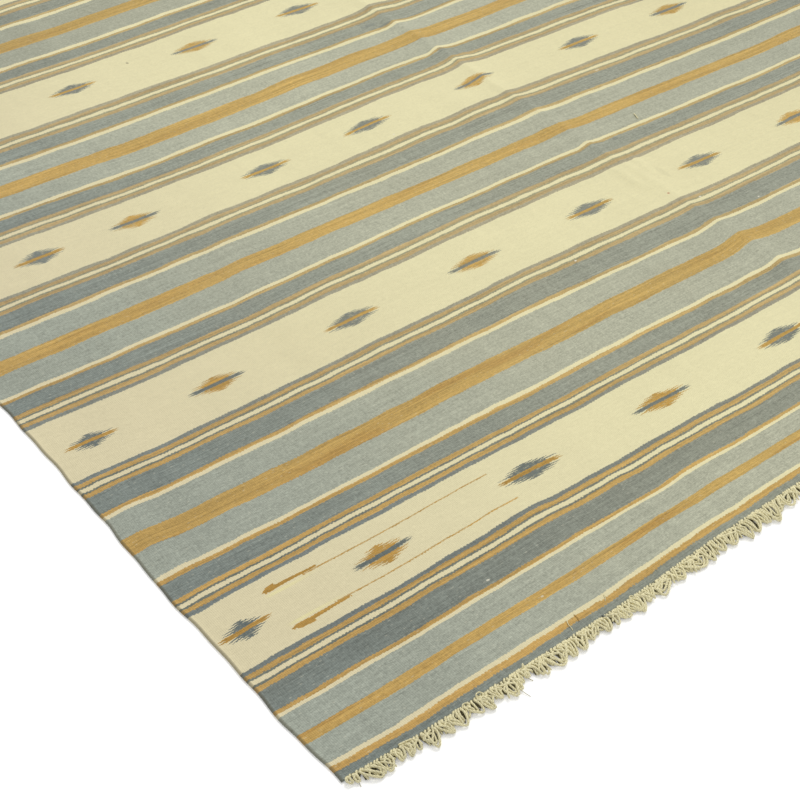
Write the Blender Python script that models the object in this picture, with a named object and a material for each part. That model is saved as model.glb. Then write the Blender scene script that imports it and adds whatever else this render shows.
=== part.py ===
# Dhurrie rug: a weft-faced flat-woven cloth lying on a floor, with loose warp ends at both ends.
# X runs along the stripes (the weft), Y along the warp, +Z up. The origin is at the middle of the
# rug at floor level. All sizes are in metres.
import bpy
import bmesh

WIDTH = 2.350            # selvedge to selvedge
LENGTH = 3.135           # woven length, end edge to end edge
THICK = 0.003            # thickness of the cloth
GAP = 0.0003             # clearance between the cloth and each fringe
TOOTH_PITCH = 0.0300     # one gathered tuft of warp ends
SPINE = 0.0050           # depth of the unbroken strip where the warp ends leave the cloth
FRINGE_REACH = 0.0340    # the longest tuft, measured from the cloth's end edge
TRIM_LINE = 0.0264       # no tuft passes this line beyond the straight outline of the cloth
FRINGE_THICK = 0.003

# The selvedges wander a few millimetres. Along: share of the woven length. In: how far each
# selvedge lies inside the straight outline (the outline itself is WIDTH across).
SELVEDGE = [  # along, left_in, right_in
    (0.000, 0.0085, 0.0070),
    (0.009, 0.0082, 0.0050),
    (0.022, 0.0055, 0.0034),
    (0.035, 0.0032, 0.0026),
    (0.060, 0.0030, 0.0024),
    (0.085, 0.0040, 0.0030),
    (0.115, 0.0002, 0.0040),
    (0.145, 0.0015, 0.0034),
    (0.165, 0.0055, 0.0018),
    (0.200, 0.0045, 0.0006),
    (0.240, 0.0062, 0.0010),
    (0.290, 0.0040, 0.0030),
    (0.340, 0.0030, 0.0048),
    (0.400, 0.0048, 0.0040),
    (0.460, 0.0040, 0.0020),
    (0.520, 0.0022, 0.0014),
    (0.580, 0.0030, 0.0032),
    (0.640, 0.0050, 0.0046),
    (0.700, 0.0042, 0.0030),
    (0.760, 0.0020, 0.0008),
    (0.820, 0.0014, 0.0000),
    (0.880, 0.0034, 0.0020),
    (0.930, 0.0040, 0.0046),
    (0.965, 0.0036, 0.0044),
    (0.985, 0.0050, 0.0060),
    (1.000, 0.0078, 0.0088),
]

# The end edges bow in a little towards the middle. Across: share of the width. In: how far each
# end edge lies inside the straight outline.
END_EDGE = [  # across, near_in, far_in
    (0.000, 0.0045, 0.0040),
    (0.015, 0.0018, 0.0020),
    (0.045, 0.0000, 0.0010),
    (0.110, 0.0014, 0.0000),
    (0.180, 0.0020, 0.0012),
    (0.215, 0.0050, 0.0040),
    (0.255, 0.0112, 0.0070),
    (0.320, 0.0150, 0.0090),
    (0.390, 0.0168, 0.0112),
    (0.560, 0.0166, 0.0118),
    (0.620, 0.0148, 0.0110),
    (0.680, 0.0120, 0.0094),
    (0.760, 0.0084, 0.0070),
    (0.840, 0.0050, 0.0040),
    (0.910, 0.0022, 0.0014),
    (0.960, 0.0010, 0.0006),
    (0.985, 0.0018, 0.0020),
    (1.000, 0.0045, 0.0046),
]

# A soft crease from having been folded in half runs down the middle, along the warp.
CREASE_ACROSS = 0.500
CREASE_SECTION = [  # offset from the crest, share of the crest's height
    (-0.094, 0.00),
    (-0.047, 0.30),
    (-0.0165, 0.80),
    (0.000, 1.00),
    (0.0141, 0.66),
    (0.0329, 0.18),
    (0.0564, 0.00),
]
CREASE_CREST = [  # along (share of the length), height of the crest
    (0.000, 0.0000),
    (0.022, 0.0000),
    (0.060, 0.0036),
    (0.115, 0.0050),
    (0.200, 0.0048),
    (0.290, 0.0058),
    (0.340, 0.0066),
    (0.400, 0.0086),
    (0.460, 0.0084),
    (0.520, 0.0090),
    (0.580, 0.0080),
    (0.700, 0.0062),
    (0.820, 0.0050),
    (0.930, 0.0036),
    (0.985, 0.0000),
    (1.000, 0.0000),
]

# Length of each gathered tuft as a share of FRINGE_REACH, and its lean along the edge as a share
# of the pitch. The rows repeat along the edge, and the two ends begin at different rows.
TUFTS = [  # length, lean, tip width (share of the pitch)
    (0.70, -0.16, 0.30),
    (0.82, 0.12, 0.24),
    (0.76, -0.22, 0.36),
    (0.92, 0.06, 0.22),
    (0.84, 0.24, 0.30),
    (0.74, -0.10, 0.40),
    (0.96, 0.16, 0.22),
    (0.86, -0.20, 0.34),
    (1.00, 0.02, 0.20),
    (0.78, 0.20, 0.38),
    (0.90, -0.12, 0.26),
]
TUFT_KEEP = [  # across, share of the tuft's own length kept there
    (0.000, 0.34),
    (0.020, 0.45),
    (0.050, 0.64),
    (0.090, 0.86),
    (0.120, 0.88),
    (0.190, 0.76),
    (0.250, 0.82),
    (0.320, 0.94),
    (0.450, 1.00),
    (0.700, 1.00),
    (0.880, 0.90),
    (1.000, 0.50),
]


def table(rows, column, at):
    """Straight-line reading of a table's column at a value of its first column."""
    for a, b in zip(rows[:-1], rows[1:]):
        if at <= b[0]:
            t = (at - a[0]) / (b[0] - a[0])
            return a[column] + t * (b[column] - a[column])
    return rows[-1][column]


def lift(across, along):
    """Height of the cloth's underside above the floor."""
    offset = (across - CREASE_ACROSS) * WIDTH
    if offset <= CREASE_SECTION[0][0] or offset >= CREASE_SECTION[-1][0]:
        return 0.0
    return table(CREASE_SECTION, 1, offset) * table(CREASE_CREST, 1, along)


def plan(across, along):
    """Place of a point of the cloth on the floor."""
    left = -WIDTH / 2 + table(SELVEDGE, 1, along)
    right = WIDTH / 2 - table(SELVEDGE, 2, along)
    near = -LENGTH / 2 + table(END_EDGE, 1, across)
    far = LENGTH / 2 - table(END_EDGE, 2, across)
    return left + (right - left) * across, near + (far - near) * along


def material(name, colour, roughness):
    mat = bpy.data.materials.new(name)
    mat.use_nodes = True
    bsdf = mat.node_tree.nodes["Principled BSDF"]
    bsdf.inputs["Base Color"].default_value = (*colour, 1.0)
    bsdf.inputs["Roughness"].default_value = roughness
    bsdf.inputs["Metallic"].default_value = 0.0
    return mat


def add_object(name, bm, mat):
    mesh = bpy.data.meshes.new(name)
    bmesh.ops.recalc_face_normals(bm, faces=bm.faces)
    bm.to_mesh(mesh)
    bm.free()
    mesh.materials.append(mat)
    obj = bpy.data.objects.new(name, mesh)
    bpy.context.collection.objects.link(obj)
    return obj


def cloth(name, mat):
    """The woven sheet: a grid of sections across by sections along, with a top, an underside and a rim."""
    across = sorted({row[0] for row in END_EDGE} | {CREASE_ACROSS + row[0] / WIDTH for row in CREASE_SECTION})
    along = sorted({row[0] for row in SELVEDGE} | {row[0] for row in CREASE_CREST})
    bm = bmesh.new()
    under, top = [], []
    for a in along:
        low_row, high_row = [], []
        for c in across:
            x, y = plan(c, a)
            z = lift(c, a)
            low_row.append(bm.verts.new((x, y, z)))
            high_row.append(bm.verts.new((x, y, z + THICK)))
        under.append(low_row)
        top.append(high_row)
    rows, cols = len(along), len(across)
    for i in range(rows - 1):
        for j in range(cols - 1):
            for grid in (under, top):
                a, b, c, d = grid[i][j], grid[i][j + 1], grid[i + 1][j + 1], grid[i + 1][j]
                bm.faces.new((a, b, c))
                bm.faces.new((a, c, d))
    rim = [(0, j) for j in range(cols)]
    rim += [(i, cols - 1) for i in range(1, rows)]
    rim += [(rows - 1, j) for j in range(cols - 2, -1, -1)]
    rim += [(i, 0) for i in range(rows - 2, 0, -1)]
    for (i, j), (k, m) in zip(rim, rim[1:] + rim[:1]):
        bm.faces.new((under[i][j], under[k][m], top[k][m], top[i][j]))
    return add_object(name, bm, mat)


def fringe(name, mat, end, step):
    """One comb: an unbroken strip beside the cloth's end edge, and the tufts that leave it.
    end is -1 at the near end and +1 at the far end; step is the row of TUFTS to begin with."""
    column = 1 if end < 0 else 2
    start, stop = (table(SELVEDGE, 1, 0.0), table(SELVEDGE, 2, 0.0)) if end < 0 else (
        table(SELVEDGE, 1, 1.0), table(SELVEDGE, 2, 1.0))
    left, right = -WIDTH / 2 + start, WIDTH / 2 - stop

    def edge(x, out):
        """A point beside the end edge, out metres away from it."""
        share = (x - left) / (right - left)
        return (x, end * (LENGTH / 2 - table(END_EDGE, column, share) + out))

    inner = [edge(left + (right - left) * row[0], GAP) for row in END_EDGE]
    inner[0] = edge(left + 0.002, GAP)
    inner[-1] = edge(right - 0.002, GAP)
    count = round((right - left - 0.004) / TOOTH_PITCH)
    pitch = (right - left - 0.004) / count
    outer = []
    for k in range(count):
        x0 = left + 0.002 + k * pitch
        length, lean, tip = TUFTS[(k + step) % len(TUFTS)]
        share = (k + 0.5) / count
        keep = table(TUFT_KEEP, 1, share if end < 0 else 1.0 - share)
        trim = TRIM_LINE + table(END_EDGE, column, share)
        reach = min(FRINGE_REACH * length * keep, trim)
        middle = x0 + pitch * (0.5 + lean)
        outer.append(edge(x0 + 0.08 * pitch if k else x0, SPINE))
        outer.append(edge(middle - 0.5 * tip * pitch, reach))
        outer.append(edge(middle + 0.5 * tip * pitch, reach * 0.96))
        outer.append(edge(x0 + 0.92 * pitch if k < count - 1 else x0 + pitch, SPINE))
    outline = inner + outer[::-1]
    if end > 0:
        outline.reverse()
    bm = bmesh.new()
    low = [bm.verts.new((x, y, 0.0)) for x, y in outline]
    high = [bm.verts.new((x, y, FRINGE_THICK)) for x, y in outline]
    bm.faces.new(low)
    bm.faces.new(high)
    for i in range(len(outline)):
        j = (i + 1) % len(outline)
        bm.faces.new((low[i], low[j], high[j], high[i]))
    bmesh.ops.triangulate(bm, faces=bm.faces[:], quad_method="BEAUTY", ngon_method="EAR_CLIP")
    return add_object(name, bm, mat)


def main():
    for obj in list(bpy.data.objects):
        bpy.data.objects.remove(obj, do_unlink=True)
    weave = material("rug_weave", (0.55, 0.54, 0.42), 0.95)
    warp_ends = material("rug_warp_ends", (0.72, 0.66, 0.44), 0.9)
    cloth("rug_cloth", weave)
    fringe("fringe_near", warp_ends, -1, 0)
    fringe("fringe_far", warp_ends, 1, 5)


main()
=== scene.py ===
import math

import bpy
import numpy as np
from mathutils import Matrix, Vector


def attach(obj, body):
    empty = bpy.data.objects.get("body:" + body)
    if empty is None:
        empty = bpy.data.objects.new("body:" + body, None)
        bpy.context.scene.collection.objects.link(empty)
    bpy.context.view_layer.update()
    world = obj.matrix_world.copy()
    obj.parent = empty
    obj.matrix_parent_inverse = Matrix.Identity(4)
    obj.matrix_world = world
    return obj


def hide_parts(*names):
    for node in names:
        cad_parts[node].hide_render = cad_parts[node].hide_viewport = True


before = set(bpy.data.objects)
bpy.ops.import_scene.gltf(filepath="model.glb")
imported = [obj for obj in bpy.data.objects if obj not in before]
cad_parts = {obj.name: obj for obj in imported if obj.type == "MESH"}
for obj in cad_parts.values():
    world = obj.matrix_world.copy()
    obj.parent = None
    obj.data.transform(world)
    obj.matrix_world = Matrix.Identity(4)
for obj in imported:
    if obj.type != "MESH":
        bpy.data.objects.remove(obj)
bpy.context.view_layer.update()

# ---------------------------------------------------------------------------------------------
# Sizes, in metres. X runs along the stripes (the weft), Y along the warp, Z up.
# ---------------------------------------------------------------------------------------------
WIDTH = 2.350
LENGTH = 3.135
END_INSET = 0.0079       # mean distance from the straight outline to the cloth's first pick
CLOTH_THICK = 0.0026
CORD_THICK = 0.0036      # the selvedge cord
WARP_PITCH = 0.00265     # one warp end
PICK_PITCH = 0.00150     # two picks, one in each shed
COLUMN_STEP = 0.0180
ROW_STEP = 0.0128

SELVEDGE = [  # along, left_in, right_in
    (0.000, 0.0085, 0.0070), (0.009, 0.0082, 0.0050), (0.022, 0.0055, 0.0034), (0.035, 0.0032, 0.0026),
    (0.060, 0.0030, 0.0024), (0.085, 0.0040, 0.0030), (0.115, 0.0002, 0.0040), (0.145, 0.0015, 0.0034),
    (0.165, 0.0055, 0.0018), (0.200, 0.0045, 0.0006), (0.240, 0.0062, 0.0010), (0.290, 0.0040, 0.0030),
    (0.340, 0.0030, 0.0048), (0.400, 0.0048, 0.0040), (0.460, 0.0040, 0.0020), (0.520, 0.0022, 0.0014),
    (0.580, 0.0030, 0.0032), (0.640, 0.0050, 0.0046), (0.700, 0.0042, 0.0030), (0.760, 0.0020, 0.0008),
    (0.820, 0.0014, 0.0000), (0.880, 0.0034, 0.0020), (0.930, 0.0040, 0.0046), (0.965, 0.0036, 0.0044),
    (0.985, 0.0050, 0.0060), (1.000, 0.0078, 0.0088),
]
END_EDGE = [  # across, near_in, far_in
    (0.000, 0.0045, 0.0040), (0.015, 0.0018, 0.0020), (0.045, 0.0000, 0.0010), (0.110, 0.0014, 0.0000),
    (0.180, 0.0020, 0.0012), (0.215, 0.0050, 0.0040), (0.255, 0.0112, 0.0070), (0.320, 0.0150, 0.0090),
    (0.390, 0.0168, 0.0112), (0.560, 0.0166, 0.0118), (0.620, 0.0148, 0.0110), (0.680, 0.0120, 0.0094),
    (0.760, 0.0084, 0.0070), (0.840, 0.0050, 0.0040), (0.910, 0.0022, 0.0014), (0.960, 0.0010, 0.0006),
    (0.985, 0.0018, 0.0020), (1.000, 0.0045, 0.0046),
]
CREASE_ACROSS = 0.500
CREASE_SECTION = [  # offset from the crest, share of the crest's height
    (-0.094, 0.00), (-0.047, 0.30), (-0.0165, 0.80), (0.000, 1.00), (0.0141, 0.66), (0.0329, 0.18), (0.0564, 0.00),
]
CREASE_CREST = [  # along, height of the crest
    (0.000, 0.0000), (0.022, 0.0000), (0.060, 0.0036), (0.115, 0.0050), (0.200, 0.0048), (0.290, 0.0058),
    (0.340, 0.0066), (0.400, 0.0086), (0.460, 0.0084), (0.520, 0.0090), (0.580, 0.0080), (0.700, 0.0062),
    (0.820, 0.0050), (0.930, 0.0036), (0.985, 0.0000), (1.000, 0.0000),
]

# Where the weft lines swing away from straight: a smooth hump each.
BOW = [  # u, v, spread_u, spread_v, height
    (0.21, 0.19, 0.07, 0.05, -0.0025),
    (0.91, 0.23, 0.22, 0.12, -0.0040),
    (1.41, 0.91, 0.33, 0.32, -0.0250),
    (1.27, 0.76, 0.37, 0.12, 0.0154),
    (0.27, 0.72, 0.15, 0.13, -0.0053),
    (1.15, 1.20, 0.24, 0.12, 0.0219),
    (1.53, 1.30, 0.15, 0.26, 0.0192),
    (0.20, 1.24, 0.11, 0.09, 0.0090),
    (1.43, 1.76, 0.42, 0.25, 0.0205),
    (0.61, 1.81, 0.13, 0.18, -0.0036),
    (1.22, 0.98, 0.19, 0.13, 0.0161),
    (0.70, 2.35, 0.30, 0.16, 0.0050),
    (1.75, 2.25, 0.25, 0.20, -0.0060),
    (2.00, 0.55, 0.18, 0.20, 0.0040),
    (1.15, 2.75, 0.35, 0.15, -0.0050),
    (0.690, 1.110, 0.080, 0.060, -0.0023), (0.990, 1.350, 0.130, 0.015, 0.0031),
    (0.570, 1.710, 0.130, 0.030, 0.0020), (0.300, 0.690, 0.050, 0.060, 0.0022),
    (0.570, 1.860, 0.050, 0.030, -0.0031), (1.170, 0.480, 0.050, 0.060, -0.0020),
    (0.240, 1.110, 0.130, 0.030, -0.0023), (0.030, 0.420, 0.050, 0.060, 0.0021),
    (1.200, 1.140, 0.130, 0.030, -0.0019), (0.360, 0.450, 0.130, 0.030, -0.0015),
    (0.870, 0.360, 0.080, 0.060, 0.0014), (0.900, 0.720, 0.080, 0.015, 0.0022),
    (0.630, 0.900, 0.050, 0.030, 0.0021), (0.840, 1.530, 0.030, 0.030, -0.0026),
    (0.870, 0.480, 0.030, 0.030, 0.0025), (0.990, 0.480, 0.080, 0.015, 0.0025),
    (1.290, 0.660, 0.030, 0.060, -0.0017), (0.750, 0.510, 0.030, 0.030, -0.0021),
    (0.660, 1.320, 0.050, 0.030, -0.0017), (0.990, 0.540, 0.050, 0.030, -0.0017),
    (1.230, 1.260, 0.030, 0.030, 0.0023), (0.060, 0.780, 0.030, 0.030, 0.0020),
    (1.178, 0.480, 0.022, 0.045, 0.0050), (1.180, 0.390, 0.016, 0.030, 0.0026),
    (1.122, 1.052, 0.011, 0.014, 0.0036), (1.140, 0.832, 0.012, 0.020, -0.0026),
    (1.168, 0.832, 0.010, 0.020, 0.0022),
    (1.196, 1.478, 0.019, 0.030, 0.0066), (1.150, 1.396, 0.016, 0.016, -0.0036),
    (1.184, 1.396, 0.012, 0.016, 0.0034), (1.182, 1.195, 0.013, 0.020, 0.0046),
    (1.147, 1.252, 0.013, 0.015, -0.0036), (1.182, 1.252, 0.012, 0.015, 0.0032),
    (1.186, 1.115, 0.018, 0.034, 0.0036), (1.120, 1.115, 0.020, 0.030, -0.0030),
    (0.560, 0.405, 0.050, 0.018, 0.0016), (0.700, 0.640, 0.030, 0.020, -0.0016),
    (0.450, 0.780, 0.130, 0.060, -0.0036), (0.510, 1.320, 0.060, 0.060, -0.0045),
    (0.510, 1.740, 0.130, 0.120, -0.0028), (1.230, 0.960, 0.130, 0.030, -0.0036),
    (0.900, 1.500, 0.090, 0.060, -0.0035), (1.020, 1.350, 0.090, 0.015, 0.0050),
    (0.030, 0.450, 0.025, 0.060, 0.0053), (1.200, 0.450, 0.060, 0.030, 0.0054),
    (0.330, 0.420, 0.130, 0.030, -0.0033), (1.770, 0.960, 0.130, 0.060, -0.0033),
    (0.270, 1.050, 0.130, 0.030, -0.0033), (0.930, 1.080, 0.060, 0.030, 0.0043),
    (1.200, 1.110, 0.130, 0.015, 0.0045), (1.200, 0.600, 0.130, 0.120, -0.0015),
    (0.270, 1.230, 0.060, 0.060, -0.0028), (1.020, 1.320, 0.090, 0.008, 0.0034),
    (0.330, 0.030, 0.130, 0.030, 0.0027), (0.840, 0.960, 0.090, 0.030, -0.0027),
    (0.630, 0.330, 0.060, 0.060, -0.0024), (0.270, 0.600, 0.130, 0.030, -0.0021),
    (0.450, 0.210, 0.040, 0.060, 0.0030), (0.150, 0.840, 0.090, 0.030, -0.0026),
    (0.030, 0.720, 0.040, 0.060, 0.0032), (0.870, 1.260, 0.040, 0.030, -0.0033),
    (0.750, 0.210, 0.060, 0.060, 0.0021), (1.590, 0.780, 0.060, 0.030, -0.0032),
    (1.170, 0.480, 0.025, 0.060, 0.0029), (1.230, 1.410, 0.090, 0.030, -0.0030),
    (0.600, 1.500, 0.060, 0.015, 0.0033), (0.540, 0.690, 0.040, 0.120, 0.0018),
    (0.690, 0.750, 0.090, 0.060, -0.0017), (1.110, 1.200, 0.025, 0.060, -0.0028),
    (1.140, 0.750, 0.060, 0.030, -0.0026), (1.470, 0.870, 0.060, 0.030, 0.0026),
    (0.900, 0.600, 0.130, 0.030, 0.0017), (0.720, 1.410, 0.060, 0.030, 0.0024),
    (0.990, 0.540, 0.090, 0.015, -0.0025), (1.110, 0.840, 0.130, 0.030, 0.0017),
    (0.450, 0.930, 0.060, 0.015, -0.0027), (0.660, 1.320, 0.060, 0.015, -0.0027),
    (0.570, 0.870, 0.090, 0.008, 0.0021), (0.630, 1.230, 0.040, 0.030, 0.0023),
    (1.380, 1.110, 0.130, 0.060, 0.0013), (0.270, 0.240, 0.040, 0.030, -0.0024),
    (0.420, 0.750, 0.025, 0.120, -0.0017), (0.390, 0.540, 0.090, 0.015, 0.0021),
]

# The same for the first stripes beside the near fringe; they die away at the edge itself.
EDGE_SWING = [
    (0.360, 0.030, 0.190, 0.030, 0.0027), (0.020, 0.036, 0.040, 0.030, 0.0012),
    (0.630, 0.120, 0.040, 0.050, -0.0018), (0.840, 0.120, 0.070, 0.050, -0.0013),
    (0.120, 0.095, 0.030, 0.020, -0.0012), (0.540, 0.040, 0.050, 0.020, 0.0012),
]

# Low swells where the cloth doesn't lie quite flat. Turn: degrees from the weft.
SWELL = [  # u, v, long, wide, turn, height
    (0.16, 0.46, 0.26, 0.050, 62, 0.0016),
    (0.47, 0.88, 0.34, 0.045, 78, 0.0018),
    (0.30, 1.22, 0.30, 0.060, 40, 0.0022),
    (0.78, 0.60, 0.40, 0.050, 84, 0.0016),
    (0.88, 1.36, 0.34, 0.050, 96, 0.0020),
    (1.08, 1.06, 0.10, 0.030, 100, 0.0022),
    (1.23, 1.36, 0.20, 0.050, 30, 0.0030),
    (0.60, 1.92, 0.40, 0.060, 70, 0.0020),
    (0.34, 2.42, 0.42, 0.070, 95, 0.0020),
    (0.95, 2.60, 0.36, 0.060, 60, 0.0018),
    (1.55, 0.55, 0.34, 0.050, 85, 0.0018),
    (1.72, 1.15, 0.40, 0.060, 110, 0.0022),
    (1.98, 1.85, 0.36, 0.060, 75, 0.0020),
    (1.62, 2.40, 0.36, 0.070, 88, 0.0022),
    (2.08, 2.62, 0.26, 0.050, 60, 0.0016),
    (0.60, 0.20, 0.18, 0.035, 88, 0.0012),
    (1.30, 0.28, 0.22, 0.045, 92, 0.0014),
    (1.148, 0.71, 0.050, 0.010, 95, 0.0024),
    (1.196, 0.73, 0.045, 0.009, 88, 0.0022),
    (1.158, 1.245, 0.030, 0.010, 60, 0.0028),
    (1.205, 1.205, 0.035, 0.012, 110, 0.0026),
    (1.150, 0.93, 0.040, 0.012, 80, 0.0020),
]

# Stripe widths in millimetres, a row for each run from one diamond band's far guard to the next.
STRIPES = [  # dark, ochre, cream, light, wide_ochre, light, cream, ochre, dark, guard, band, guard
    (13.5, 9.0, 6.3, 36.0, 16.2, 33.3, 5.0, 5.8, 36.0, 36.0, 114.3, 35.1),
    (30.6, 7.2, 7.2, 50.4, 33.3, 47.7, 7.2, 7.2, 40.5, 36.9, 134.1, 39.6),
    (32.4, 6.3, 7.2, 50.4, 30.6, 47.7, 8.1, 7.2, 36.9, 37.8, 119.7, 37.8),
    (31.5, 7.2, 9.0, 47.7, 36.9, 45.9, 9.0, 7.2, 36.9, 42.3, 145.8, 39.6),
    (31.5, 7.2, 9.9, 54.0, 35.1, 50.4, 10.8, 7.2, 36.0, 40.5, 128.7, 38.7),
    (33.3, 7.2, 8.1, 50.4, 33.3, 48.6, 9.0, 7.2, 37.8, 39.6, 131.4, 38.7),
    (34.2, 7.2, 9.0, 48.6, 34.2, 49.5, 8.1, 7.2, 36.0, 38.7, 127.8, 39.6),
]
LAST_STRIPES = (34.2, 7.2, 8.1, 47.7, 16.2, 37.8, 6.3, 8.1, 14.4)
# The mirrored half repeat, from a diamond band's middle to a wide ochre stripe's middle.
HALF = [  # stripe, width in millimetres
    ("band", 64.80), ("guard_grey", 7.60), ("guard_ochre", 8.20), ("guard_hair", 3.70), ("guard_cream", 7.65),
    ("guard_hair", 3.50), ("guard_ochre", 8.50), ("dark", 35.55), ("ochre", 7.20), ("cream", 8.30),
    ("light", 49.05), ("wide_ochre", 17.10),
]

# Diamonds: place along the band, length, and the colour of the body.
DIAMONDS = [  # band, u, length, body, lift
    (0, 0.0445, 0.074, "grey", 0.0000), (0, 0.2600, 0.094, "ochre", 0.0000), (0, 0.519, 0.111, "grey", 0.0010),
    (0, 0.772, 0.112, "ochre", 0.0000), (0, 1.029, 0.109, "grey", -0.0010), (0, 1.283, 0.110, "ochre", 0.0000),
    (0, 1.537, 0.108, "grey", 0.0010), (0, 1.794, 0.110, "ochre", 0.0000), (0, 2.046, 0.106, "grey", 0.0000),
    (0, 2.272, 0.080, "ochre", 0.0010),
    (1, 0.0665, 0.079, "grey", 0.0000), (1, 0.2745, 0.092, "ochre", 0.0000), (1, 0.526, 0.106, "grey", 0.0000),
    (1, 0.775, 0.107, "ochre", 0.0000), (1, 1.029, 0.108, "grey", 0.0000), (1, 1.290, 0.101, "grey", 0.0000),
    (1, 1.537, 0.099, "ochre", 0.0000), (1, 1.790, 0.104, "grey", 0.0000), (1, 2.040, 0.102, "ochre", 0.0000),
    (1, 2.268, 0.082, "grey", 0.0000),
    (2, 0.060, 0.076, "ochre", 0.0000), (2, 0.222, 0.087, "grey", 0.0000), (2, 0.398, 0.094, "ochre", 0.0000),
    (2, 0.664, 0.104, "grey", 0.0000), (2, 0.893, 0.110, "grey", 0.0000), (2, 1.153, 0.099, "ochre", 0.0000),
    (2, 1.419, 0.105, "grey", 0.0000), (2, 1.662, 0.101, "ochre", 0.0000), (2, 1.916, 0.104, "grey", 0.0000),
    (2, 2.164, 0.098, "ochre", 0.0000),
    (3, 0.052, 0.070, "grey", 0.0000), (3, 0.272, 0.094, "ochre", 0.0000), (3, 0.532, 0.101, "grey", 0.0000),
    (3, 0.801, 0.106, "ochre", 0.0000), (3, 1.053, 0.106, "grey", 0.0000), (3, 1.306, 0.104, "ochre", 0.0000),
    (3, 1.560, 0.106, "grey", 0.0000), (3, 1.812, 0.104, "ochre", 0.0000), (3, 2.060, 0.102, "grey", 0.0000),
    (3, 2.276, 0.080, "ochre", 0.0000),
]
BAND_LIFT = (-0.0013, -0.0032, 0.0030, 0.0072)  # how far each band's diamonds lie from its middle
PLAIN_ROW = [  # u, length: the bands out of sight
    (0.060, 0.078), (0.276, 0.092), (0.528, 0.104), (0.780, 0.106), (1.032, 0.108),
    (1.286, 0.104), (1.538, 0.104), (1.792, 0.104), (2.042, 0.102), (2.270, 0.082),
]

# Yarn colours in 8-bit sRGB as they look in the light, and how the dye lots drift along the rug.
YARN = {
    "cream_band": (229, 222, 178),
    "cream": (231, 223, 178),
    "light": (178, 179, 157),
    "dark": (150, 153, 137),
    "guard_grey": (136, 140, 130),
    "guard_grey_far": (167, 160, 133),
    "guard_hair": (126, 128, 112),
    "guard_hair_far": (163, 159, 126),
    "wide_ochre": (197, 165, 95),
    "ochre": (196, 161, 93),
    "ochre_far": (189, 166, 113),
    "guard_ochre": (195, 161, 94),
    "guard_ochre_far": (186, 164, 117),
    "motif_grey": (112, 118, 110),
    "motif_grey_far": (133, 136, 124),
    "motif_ochre": (186, 147, 72),
    "motif_ochre_far": (193, 157, 84),
    "fringe": (227, 219, 177),
}
LOTS = [  # v, grey, dark, ochre, cream (multipliers)
    (0.00, 1.03, 0.97, 1.04, 0.99),
    (0.20, 0.99, 0.88, 1.02, 1.00),
    (0.34, 1.00, 1.00, 0.96, 1.00),
    (0.60, 0.99, 1.03, 0.94, 0.99),
    (0.80, 1.00, 1.06, 1.02, 0.99),
    (1.05, 1.00, 1.05, 1.03, 0.99),
    (1.30, 1.05, 1.10, 1.02, 0.98),
    (1.46, 1.05, 1.12, 1.00, 0.98),
    (1.60, 0.90, 0.98, 0.95, 0.97),
    (1.85, 0.88, 0.94, 0.90, 0.97),
    (2.30, 0.92, 0.98, 0.94, 0.98),
    (2.80, 0.96, 0.98, 0.99, 0.98),
    (3.14, 0.98, 0.94, 1.00, 0.98),
]
LIGHT_LEVEL = 1.025      # what a white sheet on the floor sends back in this light


def linear(rgb):
    """8-bit sRGB as seen, to the linear reflectance that looks so in the scene's light."""
    out = []
    for value in rgb:
        c = value / 255.0
        c = c / 12.92 if c <= 0.04045 else ((c + 0.055) / 1.055) ** 2.4
        out.append(c / LIGHT_LEVEL)
    return tuple(out)


def column(rows, index, at):
    return np.interp(at, [r[0] for r in rows], [r[index] for r in rows])


# ---------------------------------------------------------------------------------------------
# Camera: a standing view over the near left corner.
# ---------------------------------------------------------------------------------------------
CAMERA_AT = (-1.7888, -2.4553, 1.5088)
CAMERA_AZIMUTH, CAMERA_DOWN, CAMERA_ROLL = 38.213, 40.666, -0.4866
CAMERA_LENS = 71.39


def make_camera():
    az, el, roll = (math.radians(a) for a in (CAMERA_AZIMUTH, CAMERA_DOWN, CAMERA_ROLL))
    ahead = Vector((math.sin(az) * math.cos(el), math.cos(az) * math.cos(el), -math.sin(el)))
    right = Vector((math.cos(az), -math.sin(az), 0.0))
    down = ahead.cross(right)
    image_x = math.cos(roll) * right + math.sin(roll) * down
    image_y = -math.sin(roll) * right + math.cos(roll) * down
    data = bpy.data.cameras.new("camera")
    data.lens, data.sensor_width = CAMERA_LENS, 36.0
    data.clip_start, data.clip_end = 0.05, 60.0
    camera = bpy.data.objects.new("camera", data)
    turn = Matrix((image_x, -image_y, -ahead)).transposed()
    camera.matrix_world = Matrix.Translation(CAMERA_AT) @ turn.to_4x4()
    bpy.context.scene.collection.objects.link(camera)
    bpy.context.scene.camera = camera


make_camera()

# ---------------------------------------------------------------------------------------------
# Stripe line-up along the warp
# ---------------------------------------------------------------------------------------------
WOVEN = LENGTH - 2 * END_INSET
HALF_ENDS = np.cumsum([0.0] + [w for _, w in HALF]) / 1000.0
S_BAND, S_GUARD, S_DARK, S_OCHRE, S_CREAM, S_LIGHT, S_END = (HALF_ENDS[i] for i in (1, 7, 8, 9, 10, 11, 12))


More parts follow.
